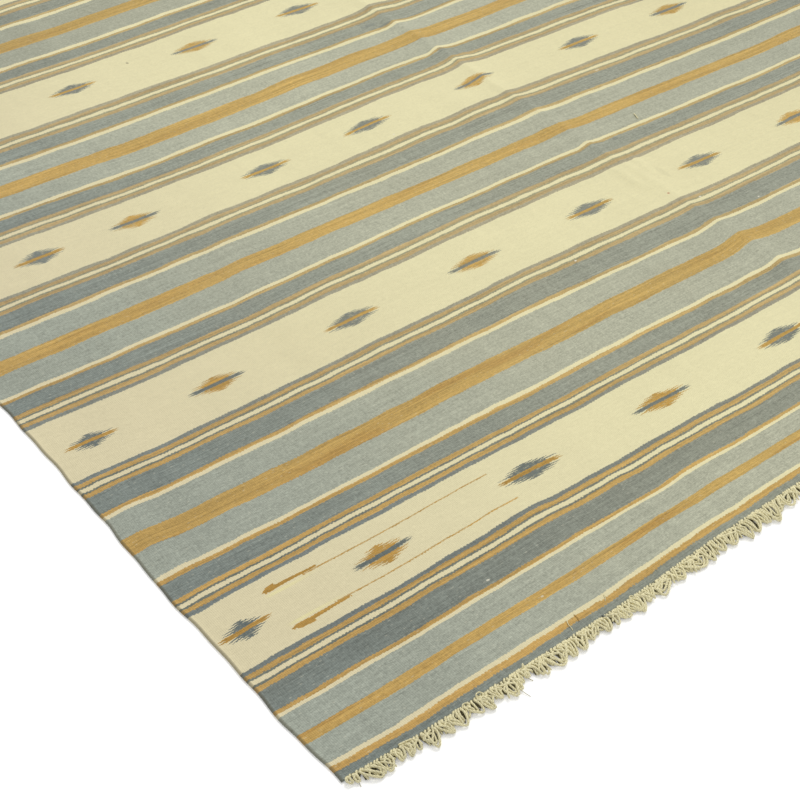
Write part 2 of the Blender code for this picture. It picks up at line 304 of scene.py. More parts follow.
def stripe_knots():
    """Knots (v, s) along the rug. s is the place in the half repeat: 0 in a band's middle, S_END in a
    wide ochre stripe's middle. Also the bands' (v_start, v_end)."""
    v, knots, bands = 0.0, [], []
    first = True
    for row in STRIPES:
        dark, ochre, cream, light, wide, light2, cream2, ochre2, dark2, guard, band, guard2 = (w / 1000 for w in row)
        knots.append((v, S_DARK - dark if first else S_GUARD))
        for width, s in ((dark, S_DARK), (ochre, S_OCHRE), (cream, S_CREAM), (light, S_LIGHT), (wide / 2, S_END),
                         (wide / 2, S_LIGHT), (light2, S_CREAM), (cream2, S_OCHRE), (ochre2, S_DARK),
                         (dark2, S_GUARD), (guard, S_BAND), (band / 2, 0.0), (band / 2, S_BAND)):
            v += width
            knots.append((v, s))
        bands.append((v - band, v))
        v += guard2
        first = False
    knots.append((v, S_GUARD))
    dark, ochre, cream, light, wide, light2, cream2, ochre2, dark2 = (w / 1000 for w in LAST_STRIPES)
    for width, s in ((dark, S_DARK), (ochre, S_OCHRE), (cream, S_CREAM), (light, S_LIGHT), (wide / 2, S_END),
                     (wide / 2, S_LIGHT), (light2, S_CREAM), (cream2, S_OCHRE), (ochre2, S_DARK),
                     (dark2, S_DARK - dark2)):
        v += width
        knots.append((v, s))
    knots = [k for i, k in enumerate(knots) if i == 0 or k[0] - knots[i - 1][0] > 1e-7]
    knots = np.array(knots)
    seen = 2.10  # the measured part keeps its widths, and the rest takes up what is left
    total = knots[-1, 0]
    fit = lambda at: np.where(at <= seen, at, seen + (at - seen) * (WOVEN - seen) / (total - seen))
    knots[:, 0] = fit(knots[:, 0])
    return knots, [(float(fit(np.float64(a))), float(fit(np.float64(b)))) for a, b in bands]


KNOTS, BANDS = stripe_knots()


def smooth_noise(seed, shape, low, high, at_u, at_v):
    """Seeded lattice noise, smoothly interpolated, for a grid of places."""
    rng = np.random.RandomState(seed)
    grid = rng.uniform(-1, 1, (shape[0] + 3, shape[1] + 3))
    x = (at_u - low[0]) / (high[0] - low[0]) * shape[0]
    y = (at_v - low[1]) / (high[1] - low[1]) * shape[1]
    xi, yi = np.clip(np.floor(x).astype(int), 0, shape[0]), np.clip(np.floor(y).astype(int), 0, shape[1])
    fx, fy = x - xi, y - yi
    fx, fy = fx * fx * (3 - 2 * fx), fy * fy * (3 - 2 * fy)
    a, b = grid[xi, yi], grid[xi + 1, yi]
    c, d = grid[xi, yi + 1], grid[xi + 1, yi + 1]
    return (a * (1 - fx) + b * fx) * (1 - fy) + (c * (1 - fx) + d * fx) * fy


def smooth_crease(u, v):
    """The fold crease on the solid's line and crest: a narrow soft ridge on low flanks."""
    offset, along = u - CREASE_ACROSS * WIDTH, v / WOVEN
    offset = offset + 0.0022 * np.sin(along * 31.0) + 0.0014 * np.sin(along * 73.0 + 1.3)
    flank, crest = np.zeros_like(offset), np.zeros_like(along)
    for step in (-0.006, -0.003, 0.0, 0.003, 0.006):
        flank += np.interp(offset + step, [r[0] for r in CREASE_SECTION], [r[1] for r in CREASE_SECTION]) / 5
    ridge = np.exp(-(np.sqrt(offset ** 2 + 0.004 ** 2) - 0.004) / np.where(offset < 0, 0.017, 0.013))
    for step in (-0.012, 0.0, 0.012):
        crest += np.interp(along + step, [r[0] for r in CREASE_CREST], [r[1] for r in CREASE_CREST]) / 3
    return (0.12 * flank + 0.53 * ridge) * crest


def bow(u, v):
    """How far a weft line swings along Y at a place of the cloth."""
    near = np.exp(-(v / 0.10) ** 2)
    far = np.exp(-((WOVEN - v) / 0.10) ** 2)
    out = (column(END_EDGE, 1, u / WIDTH) - END_INSET) * near + (END_INSET - column(END_EDGE, 2, u / WIDTH)) * far
    inner = np.zeros_like(out)
    for u0, v0, su, sv, height in BOW:
        inner += height * np.exp(-((u - u0) / su) ** 2 / 2 - ((v - v0) / sv) ** 2 / 2)
    inner += 0.0008 * smooth_noise(11, (34, 60), (0, 0), (WIDTH, WOVEN), u, v)
    inner += 0.0011 * smooth_noise(12, (12, 30), (0, 0), (WIDTH, WOVEN), u, v)
    beside = np.zeros_like(out)
    for u0, v0, su, sv, height in EDGE_SWING:
        beside += height * np.exp(-((u - u0) / su) ** 2 / 2 - ((v - v0) / sv) ** 2 / 2)
    return out + inner * (1 - near) * (1 - far) + beside * (1 - np.exp(-(v / 0.016) ** 2))


def height(u, v):
    """Height of the underside over the floor."""
    z = smooth_crease(u, v)
    for u0, v0, long, wide, turn, top in SWELL:
        c, s = math.cos(math.radians(turn)), math.sin(math.radians(turn))
        a, b = (u - u0) * c + (v - v0) * s, -(u - u0) * s + (v - v0) * c
        b = b + 0.35 * wide * np.sin(a / long * 5.0)
        z = z + top * np.exp(-(a / long) ** 2 * 1.6 - (b / wide) ** 2)
    rest = np.clip(np.minimum(np.minimum(u, WIDTH - u) / 0.05, np.minimum(v, WOVEN - v) / 0.05), 0, 1)
    z = z + 0.0003 * (1 + smooth_noise(21, (50, 70), (0, 0), (WIDTH, WOVEN), u, v)) * rest
    return np.maximum(z, 0.0)


def place(u, v):
    """World x, y of a place of the cloth. u: from the left selvedge; v: from the near end edge."""
    along = np.clip((v + END_INSET) / LENGTH, 0, 1)
    left = -WIDTH / 2 + column(SELVEDGE, 1, along)
    right = WIDTH / 2 - column(SELVEDGE, 2, along)
    x = left + (right - left) * u / WIDTH
    # the selvedges jog in and out a little from stripe to stripe
    jog = 0.0010 * np.sin(v * 39.0 + 1.0) * np.sin(v * 11.3) + 0.0007 * np.sin(v * 88.0 + 0.5)
    x = x + jog * np.exp(-u / 0.03) - jog * np.exp(-(WIDTH - u) / 0.03)
    y = -LENGTH / 2 + END_INSET + v + bow(u, v)
    return x, y


# ---------------------------------------------------------------------------------------------
# Cloth mesh
# ---------------------------------------------------------------------------------------------
def grid_lines():
    edge = [0.0, 0.0014, 0.0030, 0.0048, 0.0072, 0.0120]
    lines = set(edge) | {WIDTH - e for e in edge}
    centre = CREASE_ACROSS * WIDTH
    lines |= {round(centre + o, 5) for o in np.arange(-0.104, 0.0641, 0.008)}
    lines |= {round(centre + o, 5) for o in np.arange(-0.036, 0.0361, 0.004)}
    for a, b in ((0.0120, centre - 0.104), (centre + 0.064, WIDTH - 0.0120)):
        n = int(math.ceil((b - a) / COLUMN_STEP))
        lines |= {round(a + (b - a) * i / n, 6) for i in range(1, n)}
    us = np.array(sorted(lines))
    vs = []
    stops = sorted(set(KNOTS[:, 0]) | {0.0, 0.0016, 0.004, WOVEN - 0.004, WOVEN - 0.0016, WOVEN})
    for a, b in zip(stops[:-1], stops[1:]):
        n = max(1, int(math.ceil((b - a) / ROW_STEP)))
        vs += [a + (b - a) * i / n for i in range(n)]
    vs.append(stops[-1])
    vs = [v for i, v in enumerate(vs) if i == 0 or v - vs[i - 1] > 5e-5]
    return us, np.array(vs)


def diamond_cells():
    """For each band, its diamonds in order as (u, length, kind, v_centre)."""
    cells = []
    for b, (start, stop) in enumerate(BANDS):
        middle = (start + stop) / 2
        if b < 4:
            rows = [(u, length, body == "ochre", middle + BAND_LIFT[b] + rise)
                    for band, u, length, body, rise in DIAMONDS if band == b]
        else:
            rows = [(u, length, (i + b) % 2 == 0, middle) for i, (u, length) in enumerate(PLAIN_ROW)]
        cells.append(rows)
    return cells


def make_cloth():
    us, vs = grid_lines()
    nu, nv = len(us), len(vs)
    u, v = np.meshgrid(us, vs)  # [row, column]
    x, y = place(u, v)
    under = height(u, v)
    from_side = np.minimum(u, WIDTH - u)
    from_end = np.minimum(v, WOVEN - v)
    thick = np.interp(from_side, [0, 0.0014, 0.0030, 0.0048, 0.0072], [0.0014, 0.0031, CORD_THICK, 0.0031, CLOTH_THICK])
    thick = np.minimum(thick, np.interp(from_end, [0, 0.0016, 0.004], [0.0016, 0.0029, 0.0036]))
    lift_side = np.interp(from_side, [0, 0.0014, 0.0030, 0.0048], [0.0010, 0.0002, 0.0, 0.0])
    lift_end = np.interp(from_end, [0, 0.0016, 0.004], [0.0007, 0.0001, 0.0])
    low = under + np.maximum(lift_side, lift_end)
    high = low + thick
    points = np.concatenate([
        np.stack([x, y, low], -1).reshape(-1, 3),
        np.stack([x, y, high], -1).reshape(-1, 3),
    ])
    # the rim: one ring at mid height, a little further out
    ring = [(0, j) for j in range(nu)] + [(i, nu - 1) for i in range(1, nv)]
    ring += [(nv - 1, j) for j in range(nu - 2, -1, -1)] + [(i, 0) for i in range(nv - 2, 0, -1)]
    out = []
    for i, j in ring:
        dx = (-1 if j == 0 else 1 if j == nu - 1 else 0) * 0.0007
        dy = (-1 if i == 0 else 1 if i == nv - 1 else 0) * 0.0006
        out.append((x[i, j] + dx, y[i, j] + dy, (low[i, j] + high[i, j]) / 2))
    first_ring = len(points)
    points = np.concatenate([points, np.array(out)])

    index = np.arange(nv * nu).reshape(nv, nu)
    a, b, c, d = index[:-1, :-1], index[:-1, 1:], index[1:, 1:], index[1:, :-1]
    top = np.stack([a, b, c, d], -1).reshape(-1, 4) + nv * nu
    bottom = np.stack([a, d, c, b], -1).reshape(-1, 4)
    count = len(ring)
    k = np.arange(count)
    nxt = (k + 1) % count
    flat = np.array([i * nu + j for i, j in ring])
    rim_low = np.stack([flat[k], flat[nxt], first_ring + nxt, first_ring + k], -1)
    rim_high = np.stack([first_ring + k, first_ring + nxt, flat[nxt] + nv * nu, flat[k] + nv * nu], -1)
    quads = np.concatenate([top, bottom, rim_low, rim_high])

    mesh = bpy.data.meshes.new("cloth")
    mesh.vertices.add(len(points))
    mesh.vertices.foreach_set("co", points.astype(np.float32).ravel())
    mesh.loops.add(quads.size)
    mesh.loops.foreach_set("vertex_index", quads.astype(np.int32).ravel())
    mesh.polygons.add(len(quads))
    mesh.polygons.foreach_set("loop_start", np.arange(0, quads.size, 4, dtype=np.int32))
    mesh.update(calc_edges=True)
    mesh.validate()

    # woven coordinates on the points: u, v and the place in the stripe repeat
    pu = np.concatenate([u.ravel(), u.ravel(), [us[j] for i, j in ring]])
    pv = np.concatenate([v.ravel(), v.ravel(), [vs[i] for i, j in ring]])
    ps = np.interp(pv, KNOTS[:, 0], KNOTS[:, 1])
    woven = mesh.attributes.new("woven", "FLOAT_VECTOR", "POINT")
    woven.data.foreach_set("vector", np.stack([pu, pv, ps], -1).astype(np.float32).ravel())
    lots = np.stack([np.interp(pv, [r[0] for r in LOTS], [r[k] for r in LOTS]) for k in (1, 2, 3)], -1)
    lot = mesh.attributes.new("lot", "FLOAT_VECTOR", "POINT")
    lot.data.foreach_set("vector", lots.astype(np.float32).ravel())

    # diamond coordinates on the face corners, so that each face reads only its own diamond
    cells = diamond_cells()
    face_u = pu[quads].mean(1)
    face_v = pv[quads].mean(1)
    corner_u, corner_v = pu[quads], pv[quads]
    motif = np.zeros((len(quads), 4, 3))
    motif[..., 1] = 1.0
    shape = np.zeros((len(quads), 4, 3))
    for b, (start, stop) in enumerate(BANDS):
        inside = (face_v > start) & (face_v < stop)
        centres = np.array([c[0] for c in cells[b]])
        nearest = np.abs(face_u[:, None] - centres[None, :]).argmin(1)
        for n, (cu, length, ochre, cv) in enumerate(cells[b]):
            pick = inside & (nearest == n)
            motif[pick, :, 0] = corner_u[pick] - cu
            motif[pick, :, 1] = corner_v[pick] - cv
            motif[pick, :, 2] = length / 2
            shape[pick, :, 0] = 1.0 if ochre else 0.0
            shape[pick, :, 1] = 0.0170 if length > 0.085 else 0.0160
            shape[pick, :, 2] = b * 17.0 + n * 3.7
    near = mesh.attributes.new("motif", "FLOAT_VECTOR", "CORNER")
    near.data.foreach_set("vector", motif.astype(np.float32).ravel())
    kind = mesh.attributes.new("motif_kind", "FLOAT_VECTOR", "CORNER")
    kind.data.foreach_set("vector", shape.astype(np.float32).ravel())

    # one map, both faces stacked, the rug's two halves side by side so that the stripes get more of it
    uv = mesh.uv_layers.new(name="OFBake")
    half = np.repeat((face_v > WOVEN / 2)[:, None], 4, 1)
    split = float(vs[np.abs(vs - WOVEN / 2).argmin()])
    half = np.repeat((face_v > split)[:, None], 4, 1)
    mu = 0.004 + 0.488 * (corner_u / WIDTH) + np.where(half, 0.504, 0.0)
    mv = np.where(half, (corner_v - split) / (WOVEN - split), corner_v / split)
    mv = 0.004 + 0.992 * mv
    uv.data.foreach_set("uv", np.stack([mu, mv], -1).astype(np.float32).ravel())

    mesh.polygons.foreach_set("use_smooth", np.ones(len(quads), bool))
    mesh.update()
    obj = bpy.data.objects.new("woven_cloth", mesh)
    bpy.context.scene.collection.objects.link(obj)
    return obj


# ---------------------------------------------------------------------------------------------
# Node helpers
# ---------------------------------------------------------------------------------------------
class Graph:
    def __init__(self, name):
        self.material = bpy.data.materials.new(name)
        self.material.use_nodes = True
        self.tree = self.material.node_tree
        self.bsdf = self.tree.nodes["Principled BSDF"]

    def node(self, kind, **settings):
        made = self.tree.nodes.new(kind)
        for key, value in settings.items():
            setattr(made, key, value)
        return made

    def feed(self, socket, value):
        if isinstance(value, bpy.types.NodeSocket):
            self.tree.links.new(value, socket)
        elif isinstance(value, (tuple, list)) and len(value) == 3 and socket.type == "RGBA":
            socket.default_value = (*value, 1.0)
        else:
            socket.default_value = value

    def math(self, operation, a, b=None, c=None, clamp=False):
        made = self.node("ShaderNodeMath", operation=operation, use_clamp=clamp)
        for socket, value in zip(made.inputs, (a, b, c)):
            if value is not None:
                self.feed(socket, value)
        return made.outputs[0]

    def add(self, a, b):
        return self.math("ADD", a, b)

    def sub(self, a, b):
        return self.math("SUBTRACT", a, b)

    def mul(self, a, b):
        return self.math("MULTIPLY", a, b)

    def div(self, a, b):
        return self.math("DIVIDE", a, b)

    def over(self, a, b):
        return self.math("GREATER_THAN", a, b)

    def under(self, a, b):
        return self.math("LESS_THAN", a, b)

    def ramp(self, value, low, high, out_low=0.0, out_high=1.0, smooth=True):
        made = self.node("ShaderNodeMapRange", interpolation_type="SMOOTHSTEP" if smooth else "LINEAR")
        for socket, given in zip(made.inputs, (value, low, high, out_low, out_high)):
            self.feed(socket, given)
        return made.outputs[0]

    def attribute(self, name):
        made = self.node("ShaderNodeAttribute", attribute_name=name)
        split = self.node("ShaderNodeSeparateXYZ")
        self.tree.links.new(made.outputs["Vector"], split.inputs[0])
        return split.outputs[0], split.outputs[1], split.outputs[2]

    def vector(self, x, y, z=0.0):
        made = self.node("ShaderNodeCombineXYZ")
        for socket, value in zip(made.inputs, (x, y, z)):
            self.feed(socket, value)
        return made.outputs[0]

    def noise(self, vector, scale=1.0, detail=2.0, rough=0.5):
        made = self.node("ShaderNodeTexNoise", noise_dimensions="3D")
        self.feed(made.inputs["Vector"], vector)
        self.feed(made.inputs["Scale"], scale)
        self.feed(made.inputs["Detail"], detail)
        self.feed(made.inputs["Roughness"], rough)
        return made.outputs[0]

    def white(self, vector):
        made = self.node("ShaderNodeTexWhiteNoise", noise_dimensions="3D")
        self.feed(made.inputs["Vector"], vector)
        return made.outputs[0]

    def mix(self, share, a, b):
        made = self.node("ShaderNodeMix", data_type="RGBA")
        self.feed(made.inputs[0], share)
        self.feed(made.inputs[6], a)
        self.feed(made.inputs[7], b)
        return made.outputs[2]

    def scale(self, colour, by):
        """Colour times a number."""
        made = self.node("ShaderNodeVectorMath", operation="SCALE")
        self.feed(made.inputs[0], colour)
        self.feed(made.inputs["Scale"], by)
        return made.outputs[0]


SPOTS = [  # u, v, half length, half width, colour, strength
    (0.6640, 1.5890, 0.0030, 0.0040, (128, 120, 96), 0.60),
    (1.1679, 0.6347, 0.0026, 0.0026, (186, 122, 92), 0.70),
    # the next four: dark patches along the fold crease, painted shade of the crease
    (1.2220, 0.8160, 0.0080, 0.0050, (108, 112, 108), 0.45),
    (1.1773, 1.2435, 0.0120, 0.0070, (112, 120, 116), 0.35),
    (1.1260, 1.4250, 0.0200, 0.0060, (112, 119, 116), 0.34),
    (1.1520, 1.4070, 0.0180, 0.0055, (108, 114, 110), 0.42),
    (1.2100, 0.6900, 0.0070, 0.0200, (206, 200, 160), 0.30),
    (1.2062, 0.5989, 0.0026, 0.0016, (240, 236, 222), 0.85),
    (1.2870, 0.5412, 0.0024, 0.0016, (236, 232, 214), 0.80),
    (0.9075, 0.5834, 0.0026, 0.0016, (240, 236, 222), 0.85),
    (0.3397, 0.1332, 0.0034, 0.0018, (226, 222, 202), 0.70),
    (0.3750, 0.0707, 0.0028, 0.0016, (222, 220, 202), 0.60),
    (1.3713, 1.0197, 0.0060, 0.0018, (236, 230, 200), 0.60),
    (0.9144, 1.0618, 0.0026, 0.0020, (232, 226, 204), 0.60),
]


# ---------------------------------------------------------------------------------------------
# Cloth material
# ---------------------------------------------------------------------------------------------
def cloth_material():
    g = Graph("weave")
    u, v, s = g.attribute("woven")
    lot_light, lot_dark, lot_ochre = g.attribute("lot")

    # weave cells: warp ribs run along Y, and picks are packed tightly over them
    warp = g.math("FLOOR", g.div(u, WARP_PITCH))
    odd = g.math("MODULO", warp, 2.0)
    in_rib = g.math("FRACT", g.div(u, WARP_PITCH))
    pick_at = g.add(g.div(v, PICK_PITCH), g.mul(odd, 0.5))
    pick = g.math("FLOOR", pick_at)
    in_pick = g.math("FRACT", pick_at)

    # an edge between two colours steps by a pick from one warp to the next, and wanders a little
    wander = g.sub(g.noise(g.vector(g.mul(u, 12.0), g.mul(v, 26.0)), 1.0, 4.0, 0.62), 0.5)
    fuzz = g.sub(g.white(g.vector(warp, g.math("FLOOR", g.mul(v, 300.0)))), 0.5)
    step = g.mul(g.sub(odd, 0.5), 0.0006)
    shift = g.add(g.add(g.mul(wander, 0.0100), step), g.mul(fuzz, 0.0009))
    s_edge = g.add(s, shift)

    # streaks of single picks, heathered yarn, ribs that catch more light, slow drifts of dye
    streak = g.sub(g.noise(g.vector(g.mul(u, 5.0), g.mul(v, 400.0), 3.0), 1.0, 2.0, 0.65), 0.5)
    broad = g.sub(g.noise(g.vector(g.mul(u, 2.2), g.mul(v, 120.0), 9.0), 1.0, 2.0, 0.5), 0.5)
    heather = g.sub(g.noise(g.vector(g.mul(u, 150.0), g.mul(v, 460.0), 5.0), 1.0, 2.0, 0.65), 0.5)
    hatch = g.sub(g.noise(g.vector(g.mul(u, 380.0), g.mul(v, 60.0), 21.0), 1.0, 2.0, 0.6), 0.5)
    cell = g.sub(g.white(g.vector(warp, pick, 2.0)), 0.5)
    grain = g.sub(g.noise(g.vector(g.mul(u, 75.0), g.mul(v, 160.0), 12.0), 1.0, 2.0, 0.7), 0.5)
    column_drift = g.sub(g.noise(g.vector(g.mul(u, 30.0), g.mul(v, 2.5), 31.0), 1.0, 2.0, 0.6), 0.5)
    patch = g.sub(g.noise(g.vector(g.mul(u, 7.0), g.mul(v, 9.0), 1.0), 1.0, 3.0, 0.55), 0.5)

    def tone(base, *parts):
        out = base
        for part, amount in parts:
            out = g.add(out, g.mul(part, amount))
        return out

    grey_tone = tone(1.0, (streak, 0.42), (broad, 0.20), (heather, 0.50), (hatch, 0.38), (grain, 0.32),
                     (cell, 0.22), (column_drift, 0.20), (patch, 0.18))
    dark_tone = tone(1.0, (streak, 0.80), (broad, 0.42), (heather, 0.62), (hatch, 0.42), (grain, 0.34),
                     (cell, 0.22), (column_drift, 0.26), (patch, 0.20))
    cream_tone = tone(1.0, (streak, 0.07), (broad, 0.04), (heather, 0.14), (hatch, 0.07), (grain, 0.10),
                      (cell, 0.04), (column_drift, 0.06), (patch, 0.06))
    ochre_tone = tone(1.0, (streak, 0.95), (broad, 0.60), (heather, 0.50), (hatch, 0.25), (grain, 0.30),
                      (cell, 0.16), (column_drift, 0.08), (patch, 0.10))

    # painted light falloff: the rug's colours are painted darker and cooler towards both sides than in its middle, the
    # greys the most
    left = g.ramp(u, 0.0, 0.85)
    right = g.ramp(u, 1.05, WIDTH)

    def side_shade_tint(at_left, at_right):
        made = g.node("ShaderNodeVectorMath", operation="MULTIPLY")
        g.feed(made.inputs[0], g.mix(left, at_left, (1.0, 1.0, 1.0)))
        g.feed(made.inputs[1], g.mix(right, (1.0, 1.0, 1.0), at_right))
        return made.outputs[0]

    grey_side = side_shade_tint((0.735, 0.785, 0.88), (0.86, 0.87, 0.90))
    dark_side = side_shade_tint((0.64, 0.70, 0.81), (0.82, 0.83, 0.87))
    cream_side = side_shade_tint((0.87, 0.838, 0.90), (0.92, 0.90, 0.86))
    ochre_side = side_shade_tint((0.88, 0.85, 0.86), (0.92, 0.92, 0.92))

    def apply_side_shade(colour, side):
        made = g.node("ShaderNodeVectorMath", operation="MULTIPLY")
        g.feed(made.inputs[0], colour)
        g.feed(made.inputs[1], side)
        return made.outputs[0]

    # every yarn colour below takes the painted side shade
    def yarn(name, by, lot=None):
        side = ochre_side if "ochre" in name else cream_side if "cream" in name else dark_side if name == "dark" else grey_side
        colour = apply_side_shade(g.scale(linear(YARN[name]), by), side)
        return g.scale(colour, lot) if lot is not None else colour

    # the guard stripes are cleaner in colour in the near corner
    away = g.ramp(g.add(v, g.mul(u, 0.6)), 0.45, 1.35)

    def drifting(near_colour, far_colour):
        return g.mix(away, near_colour, far_colour)

    cream_band = yarn("cream_band", cream_tone)
    cream = yarn("cream", cream_tone)
    light = yarn("light", grey_tone, lot_light)
    dark = yarn("dark", dark_tone, lot_dark)
    guard_grey = drifting(yarn("guard_grey", grey_tone, lot_dark), yarn("guard_grey_far", grey_tone, lot_dark))
    hair = drifting(yarn("guard_hair", grey_tone), yarn("guard_hair_far", grey_tone))
    wide_ochre = yarn("wide_ochre", ochre_tone, lot_ochre)
    brown = g.noise(g.vector(g.mul(u, 4.5), g.mul(v, 42.0), 44.0), 1.0, 3.0, 0.6)
    brown = g.mul(g.ramp(brown, 0.46, 0.66), g.ramp(g.add(v, g.mul(u, 0.4)), 0.2, 1.5, 0.62, 0.25))
    wide_ochre = g.mix(brown, wide_ochre, g.scale(linear((172, 132, 68)), ochre_tone))
    ochre = drifting(yarn("ochre", ochre_tone), yarn("ochre_far", ochre_tone))
    guard_ochre = drifting(yarn("guard_ochre", ochre_tone), yarn("guard_ochre_far", ochre_tone))
    colours = {"band": cream_band, "guard_grey": guard_grey, "guard_ochre": guard_ochre, "guard_hair": hair,
               "guard_cream": cream, "dark": dark, "ochre": ochre, "cream": cream, "light": light,
               "wide_ochre": wide_ochre}
    colour = cream_band
    for (name, _), start in zip(HALF[1:], HALF_ENDS[1:-1]):
        edge = g.ramp(s_edge, float(start) - 0.0006, float(start) + 0.0006)
        colour = g.mix(edge, colour, colours[name])

    # pale flecks where a lighter ply of the heathered grey yarn shows, and a few thick slubs
    in_grey = g.over(s_edge, float(S_GUARD))
    fleck_noise = g.noise(g.vector(g.mul(u, 130.0), g.mul(v, 640.0), 14.0), 1.0, 1.0, 0.5)
    fleck = g.mul(g.mul(g.ramp(fleck_noise, 0.66, 0.76), 0.34), in_grey)
    colour = g.mix(fleck, colour, linear((206, 204, 184)))
    slub_u, slub_v = g.div(u, 0.0190), g.div(v, 0.0085)
    slub_cell = g.vector(g.math("FLOOR", slub_u), g.math("FLOOR", slub_v), 51.0)
    chance = g.white(slub_cell)
    off_u = g.sub(g.math("FRACT", slub_u), g.add(0.25, g.mul(g.math("FRACT", g.mul(chance, 37.0)), 0.5)))
    off_v = g.sub(g.math("FRACT", slub_v), g.add(0.25, g.mul(g.math("FRACT", g.mul(chance, 91.0)), 0.5)))
    far_off = g.add(g.math("POWER", g.div(off_u, 0.13), 2.0), g.math("POWER", g.div(off_v, 0.10), 2.0))
    slub = g.mul(g.mul(g.ramp(far_off, 0.4, 1.0, 1.0, 0.0), g.over(chance, 0.80)), g.mul(in_grey, 0.26))
    colour = g.mix(slub, colour, linear((216, 212, 190)))

    # diamonds: a serrated lozenge with a contrasting bar through its middle
    du, dv, reach = g.attribute("motif")
    body_kind, half_height, seed = g.attribute("motif_kind")
    dv = g.add(g.add(dv, g.mul(shift, 0.8)), g.mul(du, g.mul(g.sub(g.white(g.vector(seed, 7.0, 3.0)), 0.5), 0.060)))
    au, av = g.math("ABSOLUTE", du), g.math("ABSOLUTE", dv)
    side = g.over(du, 0.0)
    level = g.over(dv, 0.0)
    bar_half = 0.0033
    tooth_pitch = 0.0034
    slant = g.mul(g.math("MAXIMUM", g.sub(au, 0.012), 0.0), 0.050)
    above = g.math("MAXIMUM", g.sub(g.sub(av, bar_half), slant), 0.0)
    tooth_row = g.math("FLOOR", g.div(above, tooth_pitch))
    in_tooth = g.math("FRACT", g.div(above, tooth_pitch))
    point = g.sub(1.0, g.math("ABSOLUTE", g.sub(g.mul(in_tooth, 2.0), 1.0)))
    corner = g.vector(g.add(tooth_row, g.mul(side, 20.0)), g.add(seed, g.mul(level, 40.0)), 4.0)
    jitter = g.sub(g.white(corner), 0.5)
    share = g.div(g.mul(g.add(tooth_row, 0.5), tooth_pitch), g.sub(half_height, bar_half))
    tip = g.add(g.mul(g.mul(reach, 0.93), g.sub(1.0, g.mul(g.math("POWER", share, 1.25), 0.80))), g.mul(jitter, 0.0090))
    notch = g.math("MAXIMUM", g.sub(tip, g.add(0.0165, g.mul(jitter, 0.0080))), 0.0030)
    body_edge = g.add(notch, g.mul(g.sub(tip, notch), g.ramp(point, 0.18, 0.92)))
    body = g.mul(g.ramp(g.sub(body_edge, au), -0.0006, 0.0006), g.under(av, half_height))
    prong = g.sub(1.0, g.math("ABSOLUTE", g.sub(g.mul(g.math("FRACT", g.div(av, bar_half)), 2.0), 1.0)))
    jitter2 = g.sub(g.white(g.vector(side, g.add(seed, g.mul(level, 3.0)), 8.0)), 0.5)
    bar_edge = g.add(g.mul(reach, 0.80), g.add(g.mul(prong, 0.0130), g.mul(jitter2, 0.0050)))
    bar = g.mul(g.ramp(g.sub(bar_edge, au), -0.0006, 0.0006), g.ramp(av, bar_half - 0.0004, bar_half + 0.0004, 1.0, 0.0))
    body = g.mul(body, g.ramp(g.add(heather, g.mul(grain, 0.8)), -0.30, 0.00, 0.58, 1.0))
    motif_grey = drifting(yarn("motif_grey", grey_tone), yarn("motif_grey_far", grey_tone))
    motif_ochre = drifting(yarn("motif_ochre", ochre_tone), yarn("motif_ochre_far", ochre_tone))
    body_colour = g.mix(body_kind, motif_grey, motif_ochre)
    bar_colour = g.mix(body_kind, motif_ochre, motif_grey)
    here = g.over(reach, 0.001)
    colour = g.mix(g.mul(body, here), colour, body_colour)
    colour = g.mix(g.mul(bar, here), colour, bar_colour)

    # the two thin arrow lines of the near band: a barbed head, a thick shaft and a long single line
    def between(value, low, high):
        return g.mul(g.over(value, low), g.under(value, high))

    v_edge = g.add(v, g.mul(shift, 0.6))
    u_edge = g.add(u, g.mul(fuzz, 0.0060))
    marks = thin = glow = None
    for head_v, shaft_v, line_v, head_u, barb_u, shaft_u, end_u, barb in (
            (0.2889, 0.2878, 0.2845, 0.0940, 0.1180, 0.178, 0.4685, 1.0),
            (0.2170, 0.2196, 0.2221, 0.0915, 0.1240, 0.182, 0.4720, -1.0)):
        width_head = g.ramp(u_edge, head_u, head_u + 0.011, 0.0006, 0.0046, smooth=False)
        lean = g.ramp(u, head_u, barb_u + 0.002, -0.0010 * barb, 0.0020 * barb, smooth=False)
        head = g.mul(between(u_edge, head_u, barb_u),
                     g.under(g.math("ABSOLUTE", g.sub(g.sub(v_edge, head_v), lean)), width_head))
        shaft_mid = g.ramp(u, barb_u - 0.006, shaft_u, head_v - 0.0006 * barb, shaft_v, smooth=False)
        shaft = g.mul(between(u_edge, head_u + 0.008, shaft_u),
                      g.under(g.math("ABSOLUTE", g.sub(v_edge, shaft_mid)), g.ramp(u, barb_u, shaft_u, 0.0027, 0.0018)))
        line = g.mul(between(u_edge, shaft_u - 0.02, end_u),
                     g.ramp(g.math("ABSOLUTE", g.sub(v_edge, line_v)), 0.0007, 0.0015, 1.0, 0.0))
        pale = g.mul(g.mul(g.ramp(u, head_u - 0.004, head_u + 0.012), g.ramp(u, barb_u, shaft_u + 0.01, 1.0, 0.0)),
                     g.ramp(g.math("ABSOLUTE", g.sub(v, head_v - 0.0085 * barb)), 0.0010, 0.0036, 1.0, 0.0))
        mark = g.math("MAXIMUM", head, shaft)
        marks = mark if marks is None else g.math("MAXIMUM", marks, mark)
        thin = line if thin is None else g.math("MAXIMUM", thin, line)
        glow = pale if glow is None else g.math("MAXIMUM", glow, pale)
    colour = g.mix(g.mul(glow, 0.55), colour, linear((230, 222, 162)))
    colour = g.mix(g.mul(thin, g.add(0.82, g.mul(fuzz, 0.5))), colour, yarn("motif_ochre", ochre_tone))
    colour = g.mix(marks, colour, yarn("motif_ochre", ochre_tone))

